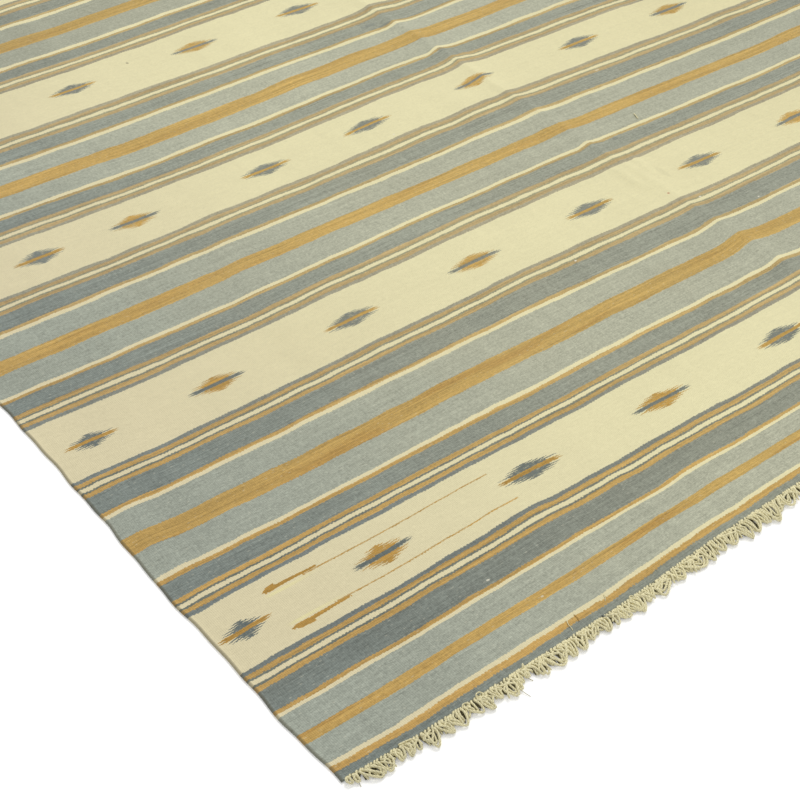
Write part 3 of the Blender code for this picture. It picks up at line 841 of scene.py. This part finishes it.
    # small spots and specks, and dark patches along the fold crease that are painted crease shade
    for spot_u, spot_v, size_u, size_v, tint, strength in SPOTS:
        off = g.add(g.math("POWER", g.div(g.sub(u, spot_u), size_u), 2.0), g.math("POWER", g.div(g.sub(v, spot_v), size_v), 2.0))
        colour = g.mix(g.ramp(off, 0.25, 1.2, strength, 0.0), colour, linear(tint))

    # wear: slight soiling in slow patches; and painted shade, a dark band along the selvedges
    from_side = g.math("MINIMUM", u, g.sub(WIDTH, u))
    from_end = g.math("MINIMUM", v, g.sub(WOVEN, v))
    soil_noise = g.noise(g.vector(g.mul(u, 3.1), g.mul(v, 2.7), 6.0), 1.0, 4.0, 0.6)
    soil = g.mul(g.ramp(soil_noise, 0.48, 0.78), 0.10)
    colour = g.mix(soil, colour, linear((178, 166, 132)))
    # painted shade: the outermost millimetres of each selvedge painted dark, for the shade of its rounded edge
    rim = g.ramp(from_side, 0.0012, 0.0042, 0.55, 0.0)
    colour = g.mix(rim, colour, linear((92, 86, 66)))

    g.feed(g.bsdf.inputs["Base Color"], colour)

    # relief: ribs over the warps, each with its staggered floats, plus slubs and handling
    rib = g.math("SQRT", g.math("MAXIMUM", g.sub(1.0, g.math("POWER", g.sub(g.mul(in_rib, 2.0), 1.0), 2.0)), 0.0))
    bead = g.sub(1.0, g.math("POWER", g.sub(g.mul(in_pick, 2.0), 1.0), 2.0))
    relief = g.mul(rib, g.add(0.55, g.mul(bead, 0.45)))
    uneven = g.noise(g.vector(g.mul(u, 60.0), g.mul(v, 160.0), 7.0), 1.0, 3.0, 0.6)
    lumps = g.noise(g.vector(g.mul(u, 16.0), g.mul(v, 24.0), 8.0), 1.0, 3.0, 0.5)
    total = g.add(g.mul(relief, 0.00042), g.add(g.mul(uneven, 0.00090), g.mul(lumps, 0.0022)))
    bump = g.node("ShaderNodeBump")
    bump.inputs["Strength"].default_value = 0.8
    bump.inputs["Distance"].default_value = 1.0
    g.feed(bump.inputs["Height"], total)
    g.feed(g.bsdf.inputs["Normal"], bump.outputs[0])
    rough = g.ramp(heather, -0.3, 0.3, 0.86, 0.97)
    g.feed(g.bsdf.inputs["Roughness"], rough)
    g.bsdf.inputs["Specular IOR Level"].default_value = 0.14
    g.bsdf.inputs["Sheen Weight"].default_value = 0.06
    g.bsdf.inputs["Sheen Roughness"].default_value = 0.6
    return g.material


def yarn_material():
    g = Graph("warp_ends")
    along, around, _ = g.attribute("strand")
    number, rise, shade = g.attribute("strand_kind")
    twist = g.math("FRACT", g.add(g.div(along, 0.0042), g.mul(around, 3.0)))
    ply = g.sub(1.0, g.math("POWER", g.sub(g.mul(twist, 2.0), 1.0), 2.0))
    own = g.sub(g.white(g.vector(number, 1.0, 2.0)), 0.5)
    drift = g.sub(g.noise(g.vector(g.mul(along, 90.0), number, 1.0), 1.0, 3.0, 0.6), 0.5)
    fluff = g.sub(g.noise(g.vector(g.mul(along, 900.0), g.mul(around, 9.0), number), 1.0, 2.0, 0.6), 0.5)
    tone = g.add(1.0, g.add(g.mul(own, 0.10), g.add(g.mul(drift, 0.16), g.mul(fluff, 0.14))))
    # painted shade: each ply darker towards the grooves of its twist, a touch lighter on its crown
    tone = g.mul(tone, g.ramp(ply, 0.0, 0.8, 0.84, 1.02))
    colour = g.scale(linear(YARN["fringe"]), tone)
    # painted shade: the yarns darker the lower they lie, for the shade between and beneath them
    painted_low_shade = g.ramp(rise, 0.0006, 0.0040, 0.70, 0.0)
    painted_low_shade = g.mul(painted_low_shade, g.under(shade, 3.5))
    colour = g.mix(painted_low_shade, colour, linear((112, 104, 66)))
    # painted shade: the lower layer of ends (shade 1) painted darker still, a dark layer for the shade in the gaps
    # between the tufts
    lower = g.mul(g.over(shade, 0.5), g.under(shade, 1.5))
    colour = g.mix(g.mul(lower, 0.84), colour, linear((84, 78, 46)))
    # painted light falloff: the yarns darker towards the left side (0.93) and a little brighter (1.05) from 0.42 m in
    place_at = g.node("ShaderNodeTexCoord").outputs["Object"]
    across = g.node("ShaderNodeSeparateXYZ")
    g.feed(across.inputs[0], place_at)
    colour = g.scale(colour, g.ramp(across.outputs[0], -WIDTH / 2, -WIDTH / 2 + 0.42, 0.93, 1.05))
    colour = g.mix(g.mul(g.over(shade, 1.5), g.under(shade, 2.5)), colour, g.scale(linear((108, 114, 112)), tone))
    colour = g.mix(g.mul(g.over(shade, 2.5), g.under(shade, 3.5)), colour, g.scale(linear(YARN["ochre"]), tone))
    g.feed(g.bsdf.inputs["Base Color"], colour)
    bump = g.node("ShaderNodeBump")
    bump.inputs["Strength"].default_value = 0.9
    bump.inputs["Distance"].default_value = 1.0
    g.feed(bump.inputs["Height"], g.add(g.mul(ply, 0.00045), g.mul(fluff, 0.00035)))
    g.feed(g.bsdf.inputs["Normal"], bump.outputs[0])
    g.feed(g.bsdf.inputs["Roughness"], g.ramp(fluff, -0.3, 0.3, 0.85, 0.97))
    g.bsdf.inputs["Specular IOR Level"].default_value = 0.15
    g.bsdf.inputs["Sheen Weight"].default_value = 0.08
    g.bsdf.inputs["Sheen Roughness"].default_value = 0.6
    return g.material


# ---------------------------------------------------------------------------------------------
# Yarns
# ---------------------------------------------------------------------------------------------
def smooth_path(points, count):
    """A smooth curve through the points, read at even steps of its length."""
    p = np.array(points, float)
    ends = np.vstack([2 * p[0] - p[1], p, 2 * p[-1] - p[-2]])
    dense = []
    t = np.linspace(0, 1, 9)[:-1, None]
    for i in range(1, len(ends) - 2):
        a, b, c, d = ends[i - 1], ends[i], ends[i + 1], ends[i + 2]
        dense.append(0.5 * (2 * b + (c - a) * t + (2 * a - 5 * b + 4 * c - d) * t ** 2 + (3 * b - a - 3 * c + d) * t ** 3))
    dense = np.vstack(dense + [p[-1:]])
    gone = np.concatenate([[0], np.cumsum(np.linalg.norm(np.diff(dense, axis=0), axis=1))])
    at = np.linspace(0, gone[-1], count)
    return np.stack([np.interp(at, gone, dense[:, k]) for k in range(3)], -1), at


class Strands:
    """Many yarns gathered into one mesh."""

    def __init__(self, sides):
        self.sides = sides
        self.points, self.faces, self.corner, self.kind = [], [], [], []
        self.total = 0
        self.number = 0

    def add(self, path, radius, count, taper=(1.0, 1.0), shade=0.0):
        centre, at = smooth_path(path, count)
        centre[:, 2] = np.maximum(centre[:, 2], 0.0004)
        tangent = np.gradient(centre, axis=0)
        tangent /= np.linalg.norm(tangent, axis=1)[:, None] + 1e-12
        up = np.array([0.0, 0.0, 1.0])
        side = np.cross(tangent, up)
        weak = np.linalg.norm(side, axis=1) < 0.2
        side[weak] = np.cross(tangent[weak], np.array([0.0, 1.0, 0.0]))
        side /= np.linalg.norm(side, axis=1)[:, None]
        for i in range(1, count):
            if np.dot(side[i], side[i - 1]) < 0:
                side[i] = -side[i]
        other = np.cross(side, tangent)
        share = np.linspace(0, 1, count)
        thick = radius * np.interp(share, [0, 0.06, 0.94, 1], [taper[0], 1, 1, taper[1]])
        angle = np.arange(self.sides) / self.sides * 2 * math.pi
        ring = (centre[:, None, :] + thick[:, None, None] * (
            np.cos(angle)[None, :, None] * side[:, None, :] + np.sin(angle)[None, :, None] * other[:, None, :]))
        ring[..., 2] = np.maximum(ring[..., 2], 0.0002)  # yarns flatten a little on the floor
        start = self.total
        self.points.append(ring.reshape(-1, 3))
        n = self.sides
        i = np.arange(count - 1)[:, None]
        j = np.arange(n)[None, :]
        a = start + i * n + j
        b = start + i * n + (j + 1) % n
        quads = np.stack([a, b, b + n, a + n], -1).reshape(-1, 4)
        self.faces += quads.tolist()
        around = np.stack([j / n, (j + 1) / n, (j + 1) / n, j / n], -1) + np.zeros((count - 1, 1, 1))
        along = np.stack([at[i], at[i], at[i + 1], at[i + 1]], -1) + np.zeros((1, n, 1))
        self.corner += np.stack([along, around, np.zeros_like(around)], -1).reshape(-1, 3).tolist()
        self.total += count * n
        # domed ends
        for end, ring_at, way in ((0, 0, -1), (1, count - 1, 1)):
            tip = centre[ring_at] + way * tangent[ring_at] * thick[ring_at] * 0.7
            tip[2] = max(tip[2], 0.0002)
            self.points.append(tip[None, :])
            base = start + ring_at * n
            for k in range(n):
                tri = [base + k, base + (k + 1) % n, self.total]
                if way < 0:
                    tri = [tri[1], tri[0], tri[2]]
                self.faces.append(tri)
                self.corner += [[float(at[ring_at]), k / n, 0.0]] * 3
            self.total += 1
        rise = np.concatenate([ring.reshape(-1, 3)[:, 2], [centre[0][2], centre[-1][2]]])
        self.kind.append(np.stack([np.full(len(rise), float(self.number)), rise, np.full(len(rise), shade)], -1))
        self.number += 1

    def build(self, name, material):
        mesh = bpy.data.meshes.new(name)
        mesh.from_pydata(np.vstack(self.points).tolist(), [], self.faces)
        mesh.update()
        strand = mesh.attributes.new("strand", "FLOAT_VECTOR", "CORNER")
        strand.data.foreach_set("vector", np.array(self.corner, np.float32).ravel())
        kind = mesh.attributes.new("strand_kind", "FLOAT_VECTOR", "POINT")
        kind.data.foreach_set("vector", np.vstack(self.kind).astype(np.float32).ravel())
        mesh.polygons.foreach_set("use_smooth", np.ones(len(mesh.polygons), bool))
        mesh.materials.append(material)
        obj = bpy.data.objects.new(name, mesh)
        bpy.context.scene.collection.objects.link(obj)
        return obj


YARN_RADIUS = 0.00165
YARN_PITCH = 0.00530

# The near end's tufts, in millimetres from the left selvedge: the stretch of edge that each leaves
# from, where it gathers, how far it reaches beyond the edge, and how open its loops lie.
NEAR_TUFTS = [  # start, stop, tip, reach, open
    (4, 12, 9, 9, 0.0), (12, 22, 15, 12, 0.0), (22, 46, 43, 24, 0.7), (46, 66, 53, 22, 0.5),
    (66, 84, 75, 17, 0.0), (84, 98, 87, 18, 0.3), (98, 110, 99, 18, 0.2), (110, 132, 119, 26, 0.8),
    (132, 152, 147, 24, 0.3), (152, 176, 164, 24, 0.7), (176, 198, 190, 21, 0.5), (198, 214, 208, 27, 0.0),
    (214, 230, 225, 19, 0.0), (230, 250, 241, 27, 0.6), (250, 264, 252, 24, 0.3), (264, 280, 271, 14, 0.0),
    (280, 302, 293, 26, 0.4), (302, 332, 322, 29, 0.5), (332, 350, 339, 27, 0.2), (350, 372, 356, 25, 0.3),
    (372, 392, 374, 21, 0.3), (392, 412, 402, 22, 0.2), (412, 424, 416, 21, 0.3), (424, 446, 436, 23, 0.1),
    (446, 472, 460, 26, 0.4), (472, 492, 474, 20, 0.2), (492, 524, 502, 23, 0.9), (524, 550, 540, 23, 0.6),
    (550, 588, 577, 27, 0.7), (588, 610, 598, 30, 0.6), (610, 628, 618, 25, 0.8), (628, 652, 640, 27, 0.7),
    (652, 674, 665, 32, 0.8), (674, 694, 684, 32, 0.9), (694, 712, 706, 27, 0.3), (712, 736, 720, 34, 0.8),
    (736, 750, 738, 22, 0.6), (750, 774, 757, 23, 0.8), (774, 800, 786, 28, 0.6),
]
# Further on, and at the far end, the tufts follow these: how far they reach and how open they are.
NEAR_REST = [  # across, reach, open
    (0.340, 27, 0.7), (0.420, 30, 0.8), (0.520, 30, 0.8), (0.640, 28, 0.6), (0.760, 26, 0.5), (0.860, 24, 0.4),
    (0.940, 21, 0.2), (0.980, 15, 0.1), (1.000, 9, 0.0),
]
FAR_REST = [
    (0.000, 9, 0.0), (0.020, 14, 0.1), (0.060, 19, 0.2), (0.150, 23, 0.4), (0.300, 27, 0.7), (0.450, 29, 0.8),
    (0.600, 28, 0.6), (0.750, 25, 0.5), (0.880, 23, 0.4), (0.960, 17, 0.2), (1.000, 9, 0.0),
]


def more_tufts(rows, start, stop, rng):
    """Tufts of uneven width from start to stop (metres), in the manner of the charted ones."""
    tufts, at = [], start
    while at < stop - 0.004:
        width = rng.choice([2, 3, 4, 4, 5, 6, 7]) * YARN_PITCH
        if stop - at - width < 0.010:
            width = stop - at
        reach, openness = (float(column(rows, k, (at + width / 2) / WIDTH)) for k in (1, 2))
        reach *= rng.uniform(0.80, 1.12) * (1.04 if width > 0.018 else 0.90)
        tufts.append((at, at + width, at + width * rng.uniform(0.25, 0.75), reach / 1000,
                      float(np.clip(openness + rng.uniform(-0.35, 0.35), 0, 1))))
        at += width
    return tufts


def edge_reader(end):
    """A function that places u along an end edge, out metres beyond it, at height z."""
    edge_u = np.linspace(0, WIDTH, 800)
    edge_x, edge_y = place(edge_u, np.full(800, 0.0 if end < 0 else WOVEN))

    def spot(u, out, z):
        return (float(np.interp(u, edge_u, edge_x)) + float(u - np.clip(u, 0, WIDTH)),
                float(np.interp(u, edge_u, edge_y)) + end * out, z)
    return spot


def combed(u, seed):
    """How far the yarns lean along the edge, as a hand that brushed past left them."""
    return 0.0075 * math.sin(u * 23.0 + 2.2 * math.sin(u * 9.0) + seed)


def root(spot, u):
    """Where a yarn leaves the cloth: it comes up aslant through the last picks, and over the edge."""
    over = 0.0012 + 0.0022 * abs(math.sin(u * 1717.0))
    return [spot(u + over * 1.1, -over, 0.0017), spot(u + over * 0.6, -over * 0.50, 0.0030), spot(u, 0.0012, 0.0030)]


def add_loop(strands, spot, rng, a, b, apex, top, open_, spare, cross):
    """One loop of warp yarn: out from a, round its apex and back to b."""
    middle = (a + b) / 2
    half = (b - a) / 2
    z_left, z_right = rng.uniform(0, 0.0014, 2)
    swing = rng.uniform(-0.0016, 0.0016) + 0.35 * combed(middle, strands.lean)
    left, right = [], []
    for share, pull, width, z in ((0.15, 0.04, 0.98, 0.0046), (0.40, 0.32, 0.88, 0.0050),
                                  (0.68, 0.70, 0.64, 0.0042), (0.90, 0.93, 0.34, 0.0031)):
        c = middle + (apex - middle) * pull + swing * math.sin(share * 3.1)
        w = max(half * width, 0.0021) + (open_ * 0.0016 + spare * 0.0006) * math.sin(share * 3.1)
        flip = -1.0 if cross and share > 0.3 else 1.0
        left.append(spot(c - w * flip, top * share, z + z_left))
        right.append(spot(c + w * flip, top * share, z + z_right))
    peak = spot(apex, top, 0.0024 + rng.uniform(0, 0.0010))
    path = root(spot, a) + left + [peak] + right[::-1] + root(spot, b)[::-1]
    strands.add(path, YARN_RADIUS * rng.uniform(0.90, 1.06), 26)


def add_tuft(strands, spot, rng, start, stop, tip, reach, open_):
    legs = max(2, int(round((stop - start) / YARN_PITCH)))
    legs += legs % 2
    roots = start + (np.arange(legs) + 0.5) * (stop - start) / legs + rng.uniform(-0.0005, 0.0005, legs)
    loops = legs // 2
    matted = 1.0 - min(open_, 1.0)
    if open_ > 0.45:
        ends = list(range(legs))
        for k in range(0, legs - 1, 3):
            if rng.uniform() < 0.45:
                ends[k], ends[k + 1] = ends[k + 1], ends[k]
        for k in range(loops):
            top = max((reach - k * 0.0042) * rng.uniform(0.84, 1.0), 0.006)
            add_loop(strands, spot, rng, roots[ends[k]], roots[ends[legs - 1 - k]],
                     tip + rng.uniform(-0.0035, 0.0035), top, open_, loops - 1 - k, rng.uniform() < 0.25)
    else:
        for k in range(loops):
            a, b = roots[2 * k], roots[2 * k + 1]
            middle = (a + b) / 2
            apex = middle + (tip - middle) * rng.uniform(0.45, 0.95)
            away = abs(apex - tip) / max((stop - start) / 2, 0.006)
            top = max(reach * (1 - 0.30 * min(away, 1.0)) * rng.uniform(0.86, 1.0), 0.006)
            add_loop(strands, spot, rng, a, b, apex, top, open_, 0, rng.uniform() < 0.45 * matted)
    # yarns that lie askew over the tuft
    for _ in range(rng.poisson((0.7 + 0.9 * matted) * (stop - start) / 0.02)):
        a = roots[rng.randint(legs)]
        slant = rng.choice([-1, 1]) * rng.uniform(0.004, 0.015)
        out = reach * rng.uniform(0.50, 0.88)
        path = [spot(a, -0.0014, 0.0006), spot(a, 0.0016, 0.0030), spot(a + slant * 0.35, out * 0.40, 0.0066),
                spot(a + slant * 0.85, out * 0.78, 0.0056), spot(a + slant, out, 0.0036)]
        strands.add(path, YARN_RADIUS * rng.uniform(0.80, 0.95), 12, taper=(1.0, 0.75))


def make_fringe(name, end, tufts, seed, material):
    """The warp ends at one end of the cloth. Neighbouring ends are joined in loops that lean, cross
    and gather into small tufts, over a lower layer of the ends between them. end is -1 at the near
    end and +1 at the far end."""
    rng = np.random.RandomState(seed)
    strands = Strands(6)
    strands.lean = seed
    spot = edge_reader(end)
    for start, stop, tip, reach, open_ in tufts:
        add_tuft(strands, spot, rng, start, stop, tip, reach, open_)
    # the lower layer stops short of the tufts' outline
    outline = [(0.0, 0.003)]
    for start, stop, tip, reach, _ in tufts:
        outline += [(start + 0.0005, reach * 0.72), (tip, reach), (stop - 0.0005, reach * 0.72)]
    outline.append((WIDTH, 0.003))
    # a middle layer, combed over to one side and then the other, closes the tufts into one row
    at = 0.0070
    while at < WIDTH - 0.006:
        lean = combed(at, seed) + rng.uniform(-0.0085, 0.0085)
        room = float(np.interp(at + lean, [o[0] for o in outline], [o[1] for o in outline]))
        out = max(room * rng.uniform(0.80, 1.02) - 0.0014, 0.003)
        z = rng.uniform(0.0026, 0.0046)
        in_eye = any(open_ > 0.45 and abs(at + lean * 0.4 - tip) < 0.0064 for _, _, tip, _, open_ in tufts)
        if not in_eye:
            path = root(spot, at) + [spot(at + lean * 0.25, out * 0.40, z),
                                     spot(at + lean * 0.65, out * 0.75, z - 0.0004), spot(at + lean, out, 0.0022)]
            strands.add(path, YARN_RADIUS * rng.uniform(0.82, 1.0), 10, taper=(1.0, 0.80))
        at += rng.uniform(0.0034, 0.0056) * (1.0 + 0.7 * math.exp(-(at / 0.25) ** 4))
    # here and there a yarn curls over the others in a ring
    at = 0.03
    while at < WIDTH - 0.03:
        ring, out = rng.uniform(0.0026, 0.0040), rng.uniform(0.003, 0.011)
        turn, way = rng.uniform(0, 6.28), rng.choice([-1, 1])
        path = [spot(at, -0.0014, 0.0006), spot(at, 0.0010, 0.0030)]
        for k in range(7):
            angle = -1.9 + k * 0.85
            path.append(spot(at + way * ring * (1 + math.cos(angle + 1.6)) * 0.9, out + ring * (1 + math.sin(angle)),
                             0.0052 + 0.0005 * math.sin(k + turn)))
        strands.add(path, YARN_RADIUS * 0.85, 24, taper=(1.0, 0.7))
        at += rng.uniform(0.018, 0.060)
    # the lower layer: short ends under the tufts, given shade 1 so that they are painted dark as the shade in the gaps
    strands.sides = 4
    for u in np.arange(0.0062, WIDTH - 0.005, YARN_PITCH / 2):
        lean = rng.uniform(-0.004, 0.004)
        room = float(np.interp(u + lean, [o[0] for o in outline], [o[1] for o in outline]))
        out = room * rng.uniform(0.72, 0.90) - 0.0022
        if out < 0.003:
            continue
        path = [spot(u, -0.0030, 0.0018), spot(u, 0.0010, 0.0020), spot(u + lean * 0.5, out * 0.5, 0.0021),
                spot(u + lean, out, 0.0016)]
        strands.add(path, 0.0015, 5, taper=(1.0, 0.7), shade=1.0)
    return strands.build(name, material)


# Loose threads that lie on the cloth or stand at its near edge. Colour: 0 and 4 cream, 2 slate, 3 ochre.
THREADS = [  # colour, radius, points (u, v, height over what lies below) in millimetres
    (4, 1.5, ((104, -3.0, 3.0), (99, 0.6, 1.2), (91, 2.7, 0.4), (82.5, 3.7, 0.2))),
    (4, 1.0, ((203.0, -3.6, 3.0), (199.6, -0.8, 2.6), (200.6, 3.0, 2.6), (204.2, 4.6, 2.8), (207.8, 3.0, 2.8),
              (208.6, -0.4, 3.0), (206.0, -3.0, 4.0))),
    (4, 1.0, ((176.0, -3.0, 3.0), (177.4, 1.0, 1.6), (181.0, 3.0, 1.4), (184.8, 1.0, 1.8), (186.0, -3.0, 3.0))),
    (4, 1.3, ((270.0, -4.0, 3.0), (272.0, -0.6, 3.6), (274.6, 2.0, 3.4), (277.0, 4.6, 3.0))),
    (4, 0.9, ((459.0, -2.6, 3.0), (458.4, 1.8, 1.2), (461.0, 4.0, 1.0), (463.6, 1.8, 1.2), (463.0, -2.6, 3.0))),
    (4, 0.6, ((369.4, 22.3, 0.0), (366.2, 16.8, 0.7), (365.6, 11.6, 0.4), (364.3, 7.8, 0.0))),
    (3, 0.5, ((383.3, 24.1, 0.0), (383.2, 18.6, 0.8), (381.4, 13.3, 0.0))),
    (4, 0.6, ((436.9, 25.1, 0.0), (434.4, 20.6, 0.7), (430.7, 17.3, 0.0))),
    (4, 1.0, ((1311.0, 859.5, 0.0), (1307.6, 851.5, 0.8), (1304.0, 842.1, 0.0))),
    (2, 1.5, ((410.4, 4.0, -0.6), (411.2, 0.2, 0.6), (412.2, -3.6, 3.4), (412.6, -6.2, 3.2))),
    (0, 0.4, ((251.0, -22.0, 2.0), (252.4, -29.0, 1.0), (254.6, -37.0, 0.4))),
    (0, 0.4, ((15.0, -9.0, 2.0), (15.4, -13.6, 0.8), (15.0, -17.6, 0.3))),
    (0, 0.5, ((269.6, -12.0, 2.0), (271.0, -16.4, 1.0), (273.2, -20.4, 0.4))),
]


def make_threads(material):
    strands = Strands(6)
    for shade, radius, points in THREADS:
        path = []
        for u, v, over in points:
            u, v, over = u / 1000, v / 1000, over / 1000
            x, y = place(np.array([u]), np.array([v]))
            below = float(height(np.array([u]), np.array([v]))[0]) + CLOTH_THICK if v >= 0 else 0.0
            path.append((float(x[0]), float(y[0]), below + radius / 1000 * 0.8 + over))
        strands.add(path, radius / 1000, 20, taper=(0.6, 0.6), shade=float(shade))
    return strands.build("loose_threads", material)


# ---------------------------------------------------------------------------------------------
# Pieces
# ---------------------------------------------------------------------------------------------
cloth = make_cloth()
cloth.data.materials.append(cloth_material())
warp_ends = yarn_material()
charted = [tuple(value / 1000 for value in row[:4]) + row[4:] for row in NEAR_TUFTS]
near = make_fringe("yarns_near", -1, charted + more_tufts(NEAR_REST, 0.800, WIDTH - 0.004, np.random.RandomState(15)),
                   5, warp_ends)
far = make_fringe("yarns_far", 1, more_tufts(FAR_REST, 0.004, WIDTH - 0.004, np.random.RandomState(27)), 8, warp_ends)
threads = make_threads(warp_ends)
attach(threads, "root")

for piece, node, slot in ((cloth, "rug_cloth", "weave"), (near, "fringe_near", "warp_ends"),
                          (far, "fringe_far", "warp_ends")):
    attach(piece, "root")
    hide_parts(node)

# ---------------------------------------------------------------------------------------------
# Floor and light
# ---------------------------------------------------------------------------------------------
def make_floor():
    mesh = bpy.data.meshes.new("floor")
    size = 14.0
    mesh.from_pydata([(-size, -size, -0.0004), (size, -size, -0.0004), (size, size, -0.0004), (-size, size, -0.0004)],
                     [], [(0, 1, 2, 3)])
    g = Graph("floor")
    where = g.node("ShaderNodeTexCoord")
    soft = g.noise(where.outputs["Object"], 1.3, 3.0)
    g.feed(g.bsdf.inputs["Base Color"], g.mix(soft, (0.93, 0.93, 0.925), (0.95, 0.95, 0.945)))
    g.bsdf.inputs["Roughness"].default_value = 0.9
    g.bsdf.inputs["Specular IOR Level"].default_value = 0.0
    g.bsdf.inputs["Emission Color"].default_value = (1.0, 1.0, 1.0, 1.0)
    g.bsdf.inputs["Emission Strength"].default_value = 0.22
    mesh.materials.append(g.material)
    obj = bpy.data.objects.new("floor", mesh)
    bpy.context.scene.collection.objects.link(obj)


def make_light():
    world = bpy.data.worlds.new("studio")
    world.use_nodes = True
    back = world.node_tree.nodes["Background"]
    back.inputs["Color"].default_value = (1.0, 1.0, 1.0, 1.0)
    back.inputs["Strength"].default_value = 0.70
    bpy.context.scene.world = world
    # a wide soft light from the far right
    sun = bpy.data.lights.new("soft_key", "SUN")
    sun.energy = 1.60
    sun.angle = math.radians(32)
    sun.color = (1.0, 0.985, 0.95)
    lamp = bpy.data.objects.new("soft_key", sun)
    lamp.rotation_euler = Vector((0.55, 0.45, 0.70)).to_track_quat("Z", "Y").to_euler()
    bpy.context.scene.collection.objects.link(lamp)


make_floor()
make_light()
view = bpy.context.scene.view_settings
view.view_transform = "Standard"
view.look = "None"
view.exposure = 0.0
view.gamma = 1.0
